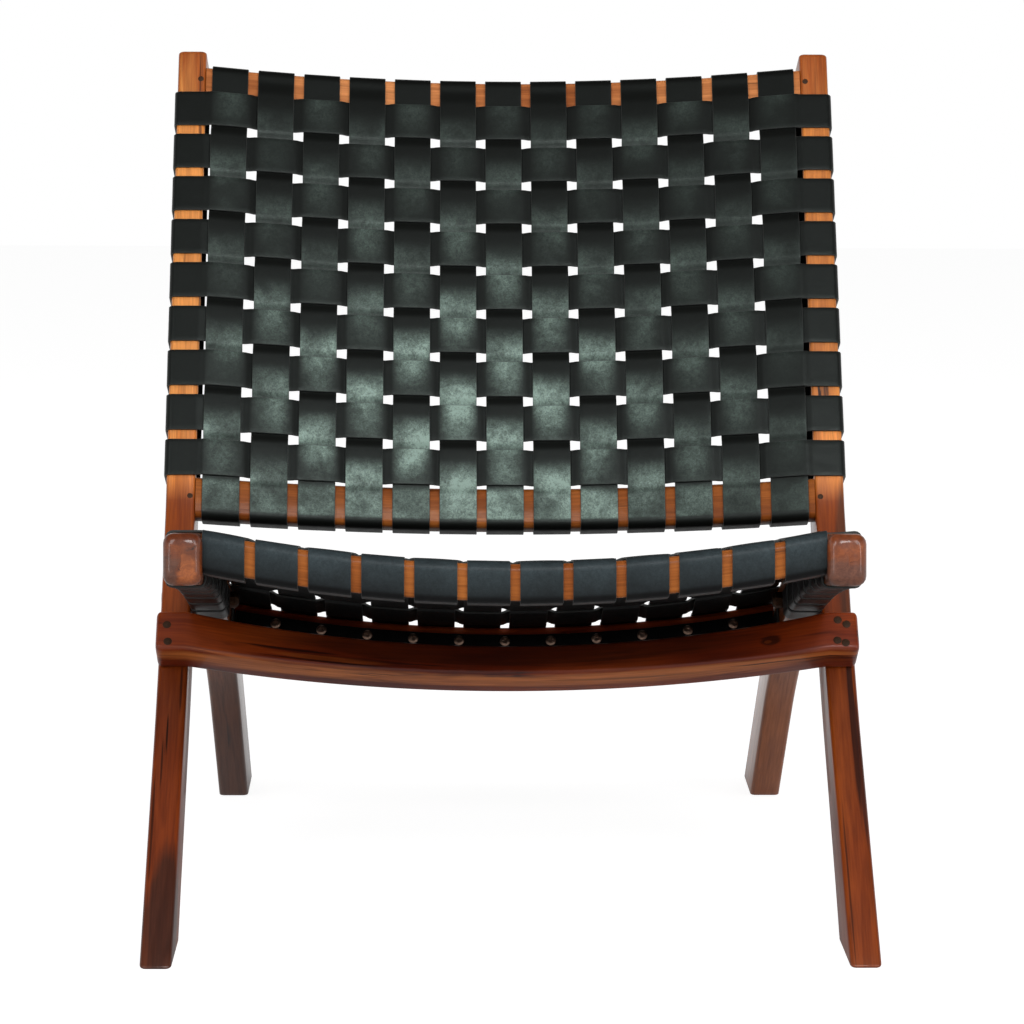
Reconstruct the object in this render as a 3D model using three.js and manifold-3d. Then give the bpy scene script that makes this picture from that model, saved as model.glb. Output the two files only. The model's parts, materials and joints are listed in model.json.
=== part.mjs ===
// Lounge chair with a woven leather back and seat, millimetres, +Z up, front towards -Y.
// Two bent hardwood frames cross and turn on one pair of bolts. The back frame holds the posts with
// their front legs, two slats and the crossbar. The seat frame holds the rails with their rear legs
// and two bars. Leather straps are woven over and under each other and wrapped round the wood.
import * as THREE from "three";
import { mergeVertices } from "three/addons/utils/BufferGeometryUtils.js";
import Module from "manifold-3d";

const wasm = await Module();
wasm.setup();

// Overall sizes
const CHAIR_WIDTH = 650;
const PIVOT_HEIGHT = 266;
const FIT = 0.3;
const OVERRUN = 2;

// Posts with their front legs, bent from the pivot up to the back and down to the foot
const POST_THICK = 28;
const POST_DEPTH = 50;
const POST_EDGE_RADIUS = 3;
const POST_TOP_RADIUS = 6;
const POST_PIVOT_ANGLE = 52.6;
const BACK_ANGLE = 61.6;
const FRONT_LEG_ANGLE = 42.8;
const POST_NECK_LENGTH = 77;
const POST_NECK_RADIUS = 200;
const POST_KNEE_RADIUS = 1000;
const BACK_LENGTH = 463;
const FRONT_FOOT_DEPTH = 56;

// Seat rails with their rear legs, angles below the horizontal
const RAIL_THICK = 30;
const RAIL_DEPTH = 44;
const REAR_LEG_DEPTH = 52;
const RAIL_EDGE_RADIUS = 4;
const RAIL_KNOB_RADIUS = 9;
const RAIL_PIVOT_ANGLE = 26.5;
const RAIL_HIP_ANGLE = 22;
const RAIL_KNOB_ANGLE = 10;
const REAR_LEG_ANGLE = 47.5;
const RAIL_HIP_RADIUS = 617;
const RAIL_FRONT_LENGTH = 334;
const RAIL_GAP = 4;
const LEG_FLARE_LENGTH = 56;
const REAR_FOOT_DEPTH = 57;
const TOE_RADIUS = 4.6;

// Back slats
const SLAT_HEIGHT = 40;
const SLAT_THICK = 22;
const SLAT_BOW = 34;
const SLAT_EDGE_RADIUS = 6;
const BOW_STEPS = 14;
const TOP_SLAT_DROP = 18;
const LOWER_SLAT_DROP = 450;

// Seat bars
const BAR_HEIGHT = 31;
const BAR_THICK = 24;
const BAR_BOW = 26;
const BAR_EDGE_RADIUS = 6;
const FRONT_BAR_SETBACK = 15;
const REAR_BAR_SETBACK = 72;

// Tenons of slats and bars
const TENON_LENGTH = 17;
const TENON_THICK = 10;
const TENON_INSET = 7;

// Crossbar on the front legs
const CROSSBAR_WIDTH = 40;
const CROSSBAR_MIDDLE_WIDTH = 30;
const CROSSBAR_THICK = 38;
const CROSSBAR_SAG = 26;
const CROSSBAR_EDGE_RADIUS = 4;

// Leather straps
const STRAP_WIDTH = 36.2;
const STRAP_THICK = 2.8;
const STRAP_TAIL = 24;
const WRAP_GAP = 0.6;
const WEAVE_EASE = 1.2;
const STRAP_SPACING = 45;
const BACK_SIDE_GAP = 5.9;
const SEAT_SIDE_GAP = 0.5;
const TOP_ROW_OVERLAP = 11;
const LOWER_ROW_CLEARANCE = 0.8;
const FRONT_ROW_CLEARANCE = 6;
const REAR_ROW_CLEARANCE = 7.5;

// Leather strip that covers the strap ends along the rear bar
const STRIP_WIDTH = 16;
const STRIP_DROP = 10;
const STRIP_THICK = 2.5;

// Pivot hardware
const BOLT_RADIUS = 4;
const BOLT_HEAD_RADIUS = 9;
const BOLT_HEAD_THICK = 4;
const NUT_RADIUS = 8;
const NUT_THICK = 9;
const NUT_CAP_THICK = 3;
const WASHER_RADIUS = 10;

const POST_INNER = CHAIR_WIDTH / 2 - POST_THICK;
const RAIL_OUTER = POST_INNER - RAIL_GAP;
const RAIL_INNER = RAIL_OUTER - RAIL_THICK;
const STRAP_LIFT = WRAP_GAP + STRAP_THICK / 2;
const WEAVE_STEP = (STRAP_THICK + FIT) / 2;
const rad = THREE.MathUtils.degToRad;

// Materials
const finish = (color, roughness, metalness) => () =>
  new THREE.MeshStandardMaterial({ color, roughness, metalness });
const honeyWood = finish(0x9c5a26, 0.35, 0);
const redWood = finish(0x7a3715, 0.35, 0);
const darkWood = finish(0x5c2410, 0.3, 0);
const leather = finish(0x1e201f, 0.45, 0);
const steel = finish(0x8c8680, 0.35, 1);

// A centreline in the side plane: straight runs and arcs from a start point. Points hold
// x for depth (world Y) and y for height (world Z), and along(s) gives the point and the heading.
function sidePath(start, heading, runs) {
  const stations = [{ point: start.clone(), angle: heading, at: 0 }];
  for (const { length, turn } of runs) {
    const last = stations[stations.length - 1];
    stations.push(travel(last, length, turn, length));
    stations[stations.length - 1].at = last.at + length;
  }
  const along = (s) => {
    let i = runs.length - 1;
    while (i > 0 && s < stations[i].at) i -= 1;
    return travel(stations[i], s - stations[i].at, runs[i].turn, runs[i].length);
  };
  return { along, length: stations[runs.length].at };
}

// The point and heading after going a distance on a run that turns by an angle over its length.
function travel(from, distance, turn, length) {
  const turned = (turn * distance) / length;
  const chord = turned === 0 ? distance : (distance * Math.sin(turned / 2)) / (turned / 2);
  const mean = from.angle + turned / 2;
  const point = new THREE.Vector2(
    from.point.x + chord * Math.cos(mean),
    from.point.y + chord * Math.sin(mean),
  );
  return { point, angle: from.angle + turned };
}

// A point beside a station of a path: ahead along it, and out on its left hand side.
function beside(station, out, ahead = 0) {
  const { point, angle } = station;
  return new THREE.Vector2(
    point.x + ahead * Math.cos(angle) - out * Math.sin(angle),
    point.y + ahead * Math.sin(angle) + out * Math.cos(angle),
  );
}

const arcRun = (radius, degrees) => ({ length: radius * rad(Math.abs(degrees)), turn: rad(degrees) });
const straightRun = (length) => ({ length, turn: 0 });

// Both members start at the pivot, which is the side plane's zero depth.
const pivot = new THREE.Vector2(0, PIVOT_HEIGHT);

// The post goes up from the pivot, the front leg down from it.
const neckTurn = BACK_ANGLE - POST_PIVOT_ANGLE;
const postPath = sidePath(pivot, rad(POST_PIVOT_ANGLE), [
  straightRun(POST_NECK_LENGTH),
  arcRun(POST_NECK_RADIUS, neckTurn),
  straightRun(BACK_LENGTH),
]);
const kneeTurn = FRONT_LEG_ANGLE - POST_PIVOT_ANGLE;
const kneeRun = arcRun(POST_KNEE_RADIUS, kneeTurn);
const frontLegPath = sidePath(pivot, rad(180 + POST_PIVOT_ANGLE), [
  kneeRun,
  straightRun(PIVOT_HEIGHT),
]);

// The rail goes forward from the pivot, the rear leg back and down from it.
const hipTurn = RAIL_PIVOT_ANGLE - RAIL_HIP_ANGLE;
const railPath = sidePath(pivot, rad(180 - RAIL_PIVOT_ANGLE), [
  arcRun(RAIL_HIP_RADIUS, hipTurn),
  { length: RAIL_FRONT_LENGTH, turn: rad(RAIL_HIP_ANGLE - RAIL_KNOB_ANGLE) },
]);
const rearRun = arcRun(RAIL_HIP_RADIUS, RAIL_PIVOT_ANGLE - REAR_LEG_ANGLE);
const rearLegPath = sidePath(pivot, rad(-RAIL_PIVOT_ANGLE), [rearRun, straightRun(PIVOT_HEIGHT)]);

// One station of the seat, from the pivot: positive is forward along the rail, negative is behind.
// Its heading always points forward and its left hand side, turned over, is up.
function seatStation(s) {
  if (s >= 0) return railPath.along(s);
  const { point, angle } = rearLegPath.along(-s);
  return { point, angle: angle + Math.PI };
}

const upFrom = (station) => new THREE.Vector2(Math.sin(station.angle), -Math.cos(station.angle));

// Where the offset line of a straight leg meets the floor.
function floorPoint(station, out) {
  const p = beside(station, out);
  return new THREE.Vector2(p.x - p.y / Math.tan(station.angle), 0);
}

const evenly = (from, to, count) =>
  Array.from({ length: count + 1 }, (_, i) => from + ((to - from) * i) / count);

// Points round a corner, from one direction to another, about its own centre.
function cornerArc(centre, radius, fromDegrees, toDegrees, steps) {
  return evenly(rad(fromDegrees), rad(toDegrees), steps).map(
    (a) => new THREE.Vector2(centre.x + radius * Math.cos(a), centre.y + radius * Math.sin(a)),
  );
}

// A corner of an outline, rounded between the points before and after it.
function roundedCorner(before, corner, after, radius, steps) {
  const a = before.clone().sub(corner).normalize();
  const b = after.clone().sub(corner).normalize();
  const half = a.angleTo(b) / 2;
  const centre = a.clone().add(b).setLength(radius / Math.sin(half)).add(corner);
  const start = a.clone().multiplyScalar(radius / Math.tan(half)).add(corner);
  const turn = -Math.sign(a.cross(b)) * (Math.PI - 2 * half);
  return evenly(0, turn, steps).map((angle) => start.clone().rotateAround(centre, angle));
}

// The rounded end of a member, in world side coordinates, going from its left to its right side.
function roundedEnd(station, half, radius, steps) {
  const turnOf = THREE.MathUtils.radToDeg(station.angle);
  const left = beside(station, half - radius, -radius);
  const right = beside(station, radius - half, -radius);
  return [
    ...cornerArc(left, radius, turnOf + 90, turnOf, steps),
    ...cornerArc(right, radius, turnOf, turnOf - 90, steps),
  ];
}

// Solid helpers: geometry with shared vertices only, and back again.
function toSolid(geometry) {
  const bare = geometry.clone();
  bare.deleteAttribute("normal");
  bare.deleteAttribute("uv");
  const merged = mergeVertices(bare, 1e-4);
  return new wasm.Manifold(
    new wasm.Mesh({
      numProp: 3,
      vertProperties: merged.attributes.position.array,
      triVerts: new Uint32Array(merged.index.array),
    }),
  );
}

function toGeometry(solid) {
  const mesh = solid.getMesh();
  const geometry = new THREE.BufferGeometry();
  geometry.setAttribute("position", new THREE.BufferAttribute(mesh.vertProperties, 3));
  geometry.setIndex(new THREE.BufferAttribute(mesh.triVerts, 1));
  const flat = geometry.toNonIndexed();
  flat.computeVertexNormals();
  return flat;
}

// Extrude an outline along the third of three directions, from an origin, with rounded long edges.
function extrudeAlong(outline, axes, origin, depth, edgeRadius = 0, edgeSteps = 2) {
  const geometry = new THREE.ExtrudeGeometry(new THREE.Shape(outline), {
    depth: depth - 2 * edgeRadius,
    bevelEnabled: edgeRadius > 0,
    bevelThickness: edgeRadius,
    bevelSize: edgeRadius,
    bevelOffset: -edgeRadius,
    bevelSegments: edgeSteps,
    curveSegments: 4,
  });
  geometry.translate(0, 0, edgeRadius);
  const matrix = new THREE.Matrix4().makeBasis(...axes);
  matrix.setPosition(origin);
  return geometry.applyMatrix4(matrix);
}

const ACROSS = new THREE.Vector3(1, 0, 0);
const DEPTHWISE = new THREE.Vector3(0, 1, 0);
const UPWARD = new THREE.Vector3(0, 0, 1);
const sideAxes = [DEPTHWISE, UPWARD, ACROSS];
const inSpace = (side, x = 0) => new THREE.Vector3(x, side.x, side.y);

// Frame of a cross piece: its first axis runs across the chair, its second is the face direction
// and its third is the direction of extrusion.
function crossAxes(face) {
  const out = inSpace(face).normalize();
  return [ACROSS, out, new THREE.Vector3().crossVectors(ACROSS, out)];
}

function boxBetween(low, high, axes, origin) {
  const size = high.clone().sub(low);
  const geometry = new THREE.BoxGeometry(size.x, size.y, size.z);
  geometry.translate(low.x + size.x / 2, low.y + size.y / 2, low.z + size.z / 2);
  const matrix = new THREE.Matrix4().makeBasis(...axes);
  matrix.setPosition(origin);
  return geometry.applyMatrix4(matrix);
}

// The bow of a cross piece: full at the middle, nothing at the half span.
const bowAt = (x, bow, half) => bow * (1 - (x / half) ** 2);
const bowSlope = (x, bow, half) => (-2 * bow * x) / half ** 2;

// Outline of a bowed piece between two shoulders, face at zero where it meets them.
function bowedOutline(half, end, bow, thick, steps) {
  const xs = evenly(-half, half, steps);
  const face = xs.map((x) => new THREE.Vector2((x * end) / half, -bowAt(x, bow, half)));
  const rear = face.map((p) => new THREE.Vector2(p.x, p.y - thick)).reverse();
  return [...face, ...rear];
}

// Tenon of a slat or bar at one end, and the mortise that takes it.
function tenonBox(side, shoulder, faceDepth, thick, height, axes, origin, slack) {
  const from = shoulder - OVERRUN;
  const to = shoulder + TENON_LENGTH + slack;
  const [x0, x1] = side > 0 ? [from, to] : [-to, -from];
  const mid = faceDepth - thick / 2;
  return boxBetween(
    new THREE.Vector3(x0, mid - TENON_THICK / 2 - slack, TENON_INSET - slack),
    new THREE.Vector3(x1, mid + TENON_THICK / 2 + slack, height - TENON_INSET + slack),
    axes,
    origin,
  );
}

// The back plane: its origin is the front top edge of the posts, and drop goes down along it.
const postTop = postPath.along(postPath.length);
const backFront = new THREE.Vector2(-Math.sin(postTop.angle), Math.cos(postTop.angle));
const backAxes = crossAxes(backFront);
const backPoint = (drop, depth = 0) => beside(postTop, POST_DEPTH / 2 - depth, -drop);

// Slats and bars: frame, shoulder and outline of each, used for the piece and for its mortises.
const slatSpec = (drop) => ({
  axes: backAxes,
  origin: inSpace(backPoint(drop)),
  shoulder: POST_INNER,
  bow: SLAT_BOW,
  faceDepth: 0,
  thick: SLAT_THICK,
  height: SLAT_HEIGHT,
  edge: SLAT_EDGE_RADIUS,
});
const topSlat = slatSpec(TOP_SLAT_DROP);
const lowerSlat = slatSpec(LOWER_SLAT_DROP);

// A bar stands with its rear face at a station of the seat and is as thick as it is deep ahead.
function barSpec(s, faceOut) {
  const station = seatStation(s);
  return {
    station,
    axes: crossAxes(upFrom(station)),
    origin: inSpace(station.point),
    shoulder: RAIL_INNER,
    bow: BAR_BOW,
    faceDepth: faceOut,
    thick: BAR_HEIGHT,
    height: BAR_THICK,
    edge: BAR_EDGE_RADIUS,
  };
}
const railLength = railPath.length;
const frontBarRear = railLength - FRONT_BAR_SETBACK - BAR_THICK;
const frontBar = barSpec(frontBarRear, RAIL_DEPTH / 2);
const rearBar = barSpec(-REAR_BAR_SETBACK - BAR_THICK, RAIL_DEPTH / 2);

function crossPiece(spec) {
  const half = spec.shoulder;
  const outline = bowedOutline(half, half - FIT, spec.bow, spec.thick, BOW_STEPS);
  for (const p of outline) p.y += spec.faceDepth;
  let solid = toSolid(extrudeAlong(outline, spec.axes, spec.origin, spec.height, spec.edge));
  for (const side of [-1, 1]) solid = solid.add(toSolid(tenonOf(spec, side, 0)));
  return toGeometry(solid);
}

const tenonOf = (spec, side, slack) =>
  tenonBox(side, spec.shoulder, spec.faceDepth, spec.thick, spec.height, spec.axes, spec.origin, slack);

// A round hole through a member on the pivot axis.
function pivotHole(radius, from, to) {
  const geometry = new THREE.CylinderGeometry(radius, radius, Math.abs(to - from) + 2 * OVERRUN, 16);
  geometry.rotateZ(Math.PI / 2);
  return geometry.translate((from + to) / 2, pivot.x, pivot.y);
}

// Outline of the post with its front leg: up the front face, over the top and down the rear face,
// which flares towards the foot.
function postOutline() {
  const half = POST_DEPTH / 2;
  const knee = evenly(0, kneeRun.length, 6);
  const neckStart = POST_NECK_LENGTH;
  const neckEnd = postPath.length - BACK_LENGTH;
  const foot = frontLegPath.along(frontLegPath.length);
  const up = evenly(neckStart, neckEnd, 3);
  return [
    floorPoint(foot, -half),
    ...knee.toReversed().map((s) => beside(frontLegPath.along(s), -half)),
    ...up.map((s) => beside(postPath.along(s), half)),
    ...roundedEnd(postTop, half, POST_TOP_RADIUS, 3),
    ...up.toReversed().map((s) => beside(postPath.along(s), -half)),
    ...knee.map((s) => beside(frontLegPath.along(s), half)),
    floorPoint(foot, FRONT_FOOT_DEPTH - half),
  ];
}

// Outline of the rail with its rear leg, which flares from the rail's depth to the leg's and
// ends in a rounded toe.
function railOutline() {
  const hip = arcRun(RAIL_HIP_RADIUS, hipTurn).length;
  const rail = [...evenly(0, hip, 2), ...evenly(hip, railLength - RAIL_KNOB_RADIUS * 2, 7).slice(1)];
  const leg = evenly(0, rearRun.length, 7).slice(1);
  const legHalf = (s) => {
    const share = THREE.MathUtils.smoothstep(s, REAR_BAR_SETBACK, REAR_BAR_SETBACK + LEG_FLARE_LENGTH);
    return THREE.MathUtils.lerp(RAIL_DEPTH, REAR_LEG_DEPTH, share) / 2;
  };
  const foot = rearLegPath.along(rearLegPath.length);
  const heel = floorPoint(foot, -REAR_LEG_DEPTH / 2);
  const toe = floorPoint(foot, REAR_FOOT_DEPTH - REAR_LEG_DEPTH / 2);
  const legRear = leg.map((s) => beside(rearLegPath.along(s), legHalf(s)));
  const half = RAIL_DEPTH / 2;
  return [
    heel,
    ...leg.toReversed().map((s) => beside(rearLegPath.along(s), -legHalf(s))),
    ...rail.map((s) => beside(railPath.along(s), half)),
    ...roundedEnd(railPath.along(railLength), half, RAIL_KNOB_RADIUS, 3),
    ...rail.toReversed().map((s) => beside(railPath.along(s), -half)),
    ...legRear,
    ...roundedCorner(legRear[legRear.length - 1], toe, heel, TOE_RADIUS, 3),
  ];
}

// One side member: extruded across, with a pivot hole and the mortises of its cross pieces.
function sideMember(outline, innerX, thick, edge, side, specs) {
  const low = side > 0 ? innerX : -innerX - thick;
  const origin = new THREE.Vector3(low, 0, 0);
  let solid = toSolid(extrudeAlong(outline, sideAxes, origin, thick, edge, 1));
  solid = solid.subtract(toSolid(pivotHole(BOLT_RADIUS + FIT, low, low + thick)));
  for (const spec of specs) solid = solid.subtract(toSolid(tenonOf(spec, side, FIT)));
  return toGeometry(solid);
}

// The crossbar lies on the front faces of the legs. It slides up them until its upper front corner
// meets the strapped underside of the rails, which rest on it.
const railUnderside = RAIL_DEPTH / 2 + WRAP_GAP + STRAP_THICK + FIT;
function crossbarTop() {
  const clearance = (s) => {
    const corner = beside(frontLegPath.along(s), -POST_DEPTH / 2 - FIT - CROSSBAR_THICK);
    const gaps = evenly(0, railLength, 60).map((r) =>
      beside(railPath.along(r), railUnderside).distanceTo(corner),
    );
    const nearest = gaps.indexOf(Math.min(...gaps));
    const at = railPath.along((railLength * nearest) / 60);
    const over = corner.clone().sub(at.point);
    return over.x * -Math.sin(at.angle) + over.y * Math.cos(at.angle) - railUnderside;
  };
  let low = 0;
  let high = kneeRun.length;
  for (let i = 0; i < 30; i += 1) {
    const middle = (low + high) / 2;
    if (clearance(middle) < 0) low = middle;
    else high = middle;
  }
  return high;
}

// Frame of the crossbar: its upper edge on the leg's face, which it follows downwards.
const crossbarStation = frontLegPath.along(crossbarTop() + CROSSBAR_WIDTH / 2);
const crossbarAngle = crossbarStation.angle;
const legFaceOut = new THREE.Vector2(Math.sin(crossbarAngle), -Math.cos(crossbarAngle));
const crossbarOrigin = inSpace(beside(crossbarStation, -POST_DEPTH / 2 - FIT, -CROSSBAR_WIDTH / 2));

// Smile-shaped board: level on the legs, sagging and narrower between them.
function crossbarGeometry() {
  const end = CHAIR_WIDTH / 2;
  const xs = evenly(-POST_INNER, POST_INNER, 12);
  const edge = (level, sag) => [
    new THREE.Vector2(-end, level),
    ...xs.map((x) => new THREE.Vector2(x, level - bowAt(x, sag, POST_INNER))),
    new THREE.Vector2(end, level),
  ];
  const upper = edge(0, CROSSBAR_SAG + CROSSBAR_WIDTH - CROSSBAR_MIDDLE_WIDTH);
  const lower = edge(-CROSSBAR_WIDTH, CROSSBAR_SAG).reverse();
  const down = new THREE.Vector3(0, Math.cos(crossbarAngle), Math.sin(crossbarAngle));
  const upLeg = down.clone().negate();
  const axes = [ACROSS, upLeg, inSpace(legFaceOut)];
  return extrudeAlong([...upper, ...lower], axes, crossbarOrigin, CROSSBAR_THICK, CROSSBAR_EDGE_RADIUS);
}

// A ribbon: the outline of a strap of even thickness about its centre line, with mitred bends.
function ribbonOutline(centre, thick) {
  const offset = (i, side) => {
    const before = i > 0 ? centre[i].clone().sub(centre[i - 1]).normalize() : null;
    const after = i < centre.length - 1 ? centre[i + 1].clone().sub(centre[i]).normalize() : null;
    const a = before ?? after;
    const b = after ?? before;
    const mean = a.clone().add(b).normalize();
    const spread = thick / 2 / mean.dot(a);
    return new THREE.Vector2(centre[i].x - side * mean.y * spread, centre[i].y + side * mean.x * spread);
  };
  const left = centre.map((_, i) => offset(i, 1));
  const right = centre.map((_, i) => offset(i, -1));
  return [...left, ...right.reverse()];
}

// A strap that runs lengthwise: its centre line lies in the side plane, and it is as wide as a
// strap along a direction that leans with the bow of the pieces that it wraps.
function lengthwiseStrap(centre, x, slope, bowDirection) {
  const lean = inSpace(bowDirection).multiplyScalar(slope).add(ACROSS).normalize();
  const origin = lean.clone().multiplyScalar(-STRAP_WIDTH / 2).add(new THREE.Vector3(x, 0, 0));
  return extrudeAlong(ribbonOutline(centre, STRAP_THICK), [DEPTHWISE, UPWARD, lean], origin, STRAP_WIDTH);
}

// A strap that runs across, centred on a frame of crossAxes.
function crossStrap(centre, axes, origin) {
  const start = origin.clone().addScaledVector(axes[2], -STRAP_WIDTH / 2);
  return extrudeAlong(ribbonOutline(centre, STRAP_THICK), axes, start, STRAP_WIDTH);
}

// Middles of straps, spread evenly over a width, as near as can be to the wanted spacing.
function spread(from, to) {
  const first = from + STRAP_WIDTH / 2;
  const last = to - STRAP_WIDTH / 2;
  return evenly(first, last, Math.round((last - first) / STRAP_SPACING));
}

const backColumns = spread(BACK_SIDE_GAP - POST_INNER, POST_INNER - BACK_SIDE_GAP);
const backRows = spread(
  TOP_SLAT_DROP + SLAT_HEIGHT - TOP_ROW_OVERLAP,
  LOWER_SLAT_DROP - LOWER_ROW_CLEARANCE,
);
const seatColumns = spread(SEAT_SIDE_GAP - RAIL_INNER, RAIL_INNER - SEAT_SIDE_GAP);
const seatRows = spread(
  REAR_ROW_CLEARANCE - REAR_BAR_SETBACK,
  frontBarRear - FRONT_ROW_CLEARANCE,
).reverse();
const rowIsOver = (row, column) => (row + column) % 2 === 0;
const lift = (isOver) => STRAP_LIFT + WEAVE_STEP + (isOver ? WEAVE_STEP : -WEAVE_STEP);

// Half the length over which a strap runs level while it crosses another.
const CROSSING_HALF = STRAP_WIDTH / 2 + WEAVE_EASE;

// The level stretch of a cross strap over or under a lengthwise one, tilted with the bow there.
function crossingPoints(x, out, bow, half) {
  const slope = -bowSlope(x, bow, half);
  const reach = CROSSING_HALF / Math.hypot(1, slope);
  return [-reach, reach].map((d) => new THREE.Vector2(x + d, out - bowAt(x, bow, half) + slope * d));
}

// Two bends that carry a strap a quarter turn round a corner of the wood.
function quarterWrap(centre, radius, fromDegrees, toDegrees) {
  const step = (toDegrees - fromDegrees) / 4;
  const reach = (radius + STRAP_LIFT) / Math.cos(rad(step));
  return cornerArc(centre, reach, fromDegrees + step, toDegrees - step, 1);
}

// Back, lengthwise: over the top slat from its rear, down through the rows, round the lower slat.
function backColumn(x, column) {
  const depth = bowAt(x, SLAT_BOW, POST_INNER);
  const r = SLAT_EDGE_RADIUS;
  const top = TOP_SLAT_DROP + r;
  const bottom = LOWER_SLAT_DROP + SLAT_HEIGHT - r;
  const rear = SLAT_THICK - r;
  const at = (drop, out) => new THREE.Vector2(drop, out);
  const rows = backRows.map((drop, row) =>
    [-CROSSING_HALF, CROSSING_HALF].map((d) => at(drop + d, lift(!rowIsOver(row, column)))),
  );
  const plan = [
    at(top + STRAP_TAIL, -SLAT_THICK - STRAP_LIFT),
    ...quarterWrap(at(top, -rear), r, -90, -180),
    ...quarterWrap(at(top, -r), r, 180, 90),
    ...rows.flat(),
    ...quarterWrap(at(bottom, -r), r, 90, 0),
    ...quarterWrap(at(bottom, -rear), r, 0, -90),
    at(bottom - STRAP_TAIL, -SLAT_THICK - STRAP_LIFT),
  ];
  const centre = plan.map((p) => backPoint(p.x, depth - p.y));
  const slope = bowSlope(x, SLAT_BOW, POST_INNER);
  return lengthwiseStrap(centre, x, slope, backFront.clone().negate());
}

// Back, across: from the rear of one post round its outer side, through the columns to the other.
function backRow(drop, row) {
  const r = POST_EDGE_RADIUS;
  const outer = CHAIR_WIDTH / 2 - r;
  const inner = POST_INNER + r;
  const columns = backColumns.flatMap((x, column) =>
    crossingPoints(x, lift(rowIsOver(row, column)), SLAT_BOW, POST_INNER),
  );
  const wrap = [
    new THREE.Vector2(outer - STRAP_TAIL + r, -POST_DEPTH - STRAP_LIFT),
    ...quarterWrap({ x: outer, y: r - POST_DEPTH }, r, -90, 0),
    ...quarterWrap({ x: outer, y: -r }, r, 0, 90),
    new THREE.Vector2(inner, STRAP_LIFT),
  ];
  const mirrored = wrap.map((p) => new THREE.Vector2(-p.x, p.y));
  return crossStrap([...mirrored, ...columns, ...wrap.reverse()], backAxes, inSpace(backPoint(drop)));
}

const railTop = RAIL_DEPTH / 2;
const seatMiddle = seatStation((seatRows[0] + seatRows[seatRows.length - 1]) / 2);

// A strap that leans with the middle of the seat needs this much more room at a bar turned from it.
const leanRoom = (spec, slope) =>
  (STRAP_WIDTH / 2) * Math.abs(slope * Math.sin(spec.station.angle - seatMiddle.angle));

// Points round one corner of a bar's section, in its own square frame of ahead and up.
function barCorner(spec, x, atFront, atTop, fromDegrees, toDegrees) {
  const r = BAR_EDGE_RADIUS;
  const room = leanRoom(spec, bowSlope(x, BAR_BOW, RAIL_INNER));
  const top = spec.faceDepth - bowAt(x, BAR_BOW, RAIL_INNER);
  const centre = { x: atFront ? BAR_THICK - r : r, y: atTop ? top - r : top - BAR_HEIGHT + r };
  const bends = quarterWrap(centre, r + room, fromDegrees, toDegrees);
  return bends.map((p) => beside(spec.station, -p.y, p.x));
}

// The tail of a strap under a bar.
function barTail(spec, x, ahead) {
  const slope = bowSlope(x, BAR_BOW, RAIL_INNER);
  const low = BAR_HEIGHT - spec.faceDepth + bowAt(x, BAR_BOW, RAIL_INNER);
  return beside(spec.station, low + STRAP_LIFT + leanRoom(spec, slope), ahead);
}

// Seat, lengthwise: from under the front bar over it, back through the rows, round the rear bar.
function seatColumn(x, column) {
  const sink = bowAt(x, BAR_BOW, RAIL_INNER);
  const rows = seatRows.flatMap((s, row) => {
    const station = seatStation(s);
    const up = railTop + lift(!rowIsOver(row, column)) - sink;
    return [CROSSING_HALF, -CROSSING_HALF].map((ahead) => beside(station, -up, ahead));
  });
  const centre = [
    barTail(frontBar, x, BAR_EDGE_RADIUS),
    ...barCorner(frontBar, x, true, false, -90, 0),
    ...barCorner(frontBar, x, true, true, 0, 90),
    ...rows,
    ...barCorner(rearBar, x, true, true, 0, 90).slice(1),
    ...barCorner(rearBar, x, false, true, 90, 180),
    ...barCorner(rearBar, x, false, false, 180, 270),
    barTail(rearBar, x, BAR_THICK - BAR_EDGE_RADIUS),
  ];
  const slope = bowSlope(x, BAR_BOW, RAIL_INNER);
  return lengthwiseStrap(centre, x, slope, upFrom(seatMiddle).negate());
}

// Seat, across: from the inner face of one rail under it and round its outer side, through the
// columns to the other rail. The row over the pivots ends on the rails' top faces.
function seatRow(s, row) {
  const r = RAIL_EDGE_RADIUS;
  const half = RAIL_DEPTH / 2;
  const outer = RAIL_OUTER - r;
  const inner = RAIL_INNER + r;
  const columns = seatColumns.flatMap((x, column) =>
    crossingPoints(x, railTop + lift(rowIsOver(row, column)), BAR_BOW, RAIL_INNER),
  );
  const fullWrap = [
    new THREE.Vector2(RAIL_INNER - STRAP_LIFT, STRAP_TAIL - half),
    ...quarterWrap({ x: inner, y: r - half }, r, 180, 270),
    ...quarterWrap({ x: outer, y: r - half }, r, -90, 0),
    ...quarterWrap({ x: outer, y: half - r }, r, 0, 90),
  ];
  const onTop = [new THREE.Vector2(outer, half + STRAP_LIFT)];
  const isOverPivot = Math.abs(s) < STRAP_WIDTH / 2 + WASHER_RADIUS;
  const wrap = [...(isOverPivot ? onTop : fullWrap), new THREE.Vector2(inner, half + STRAP_LIFT)];
  const mirrored = wrap.map((p) => new THREE.Vector2(-p.x, p.y));
  const station = seatStation(s);
  const centre = [...mirrored, ...columns, ...wrap.reverse()];
  return crossStrap(centre, crossAxes(upFrom(station)), inSpace(station.point));
}

// The strip follows the bow of the rear bar along the lower part of its front face.
function rearStrip() {
  const end = RAIL_INNER - OVERRUN;
  const outline = bowedOutline(RAIL_INNER, end, BAR_BOW, STRIP_WIDTH, BOW_STEPS);
  const base = rearBar.faceDepth - STRIP_DROP;
  for (const p of outline) p.y += base;
  const origin = inSpace(beside(rearBar.station, 0, BAR_THICK + FIT));
  return extrudeAlong(outline, rearBar.axes, origin, STRIP_THICK);
}

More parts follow.
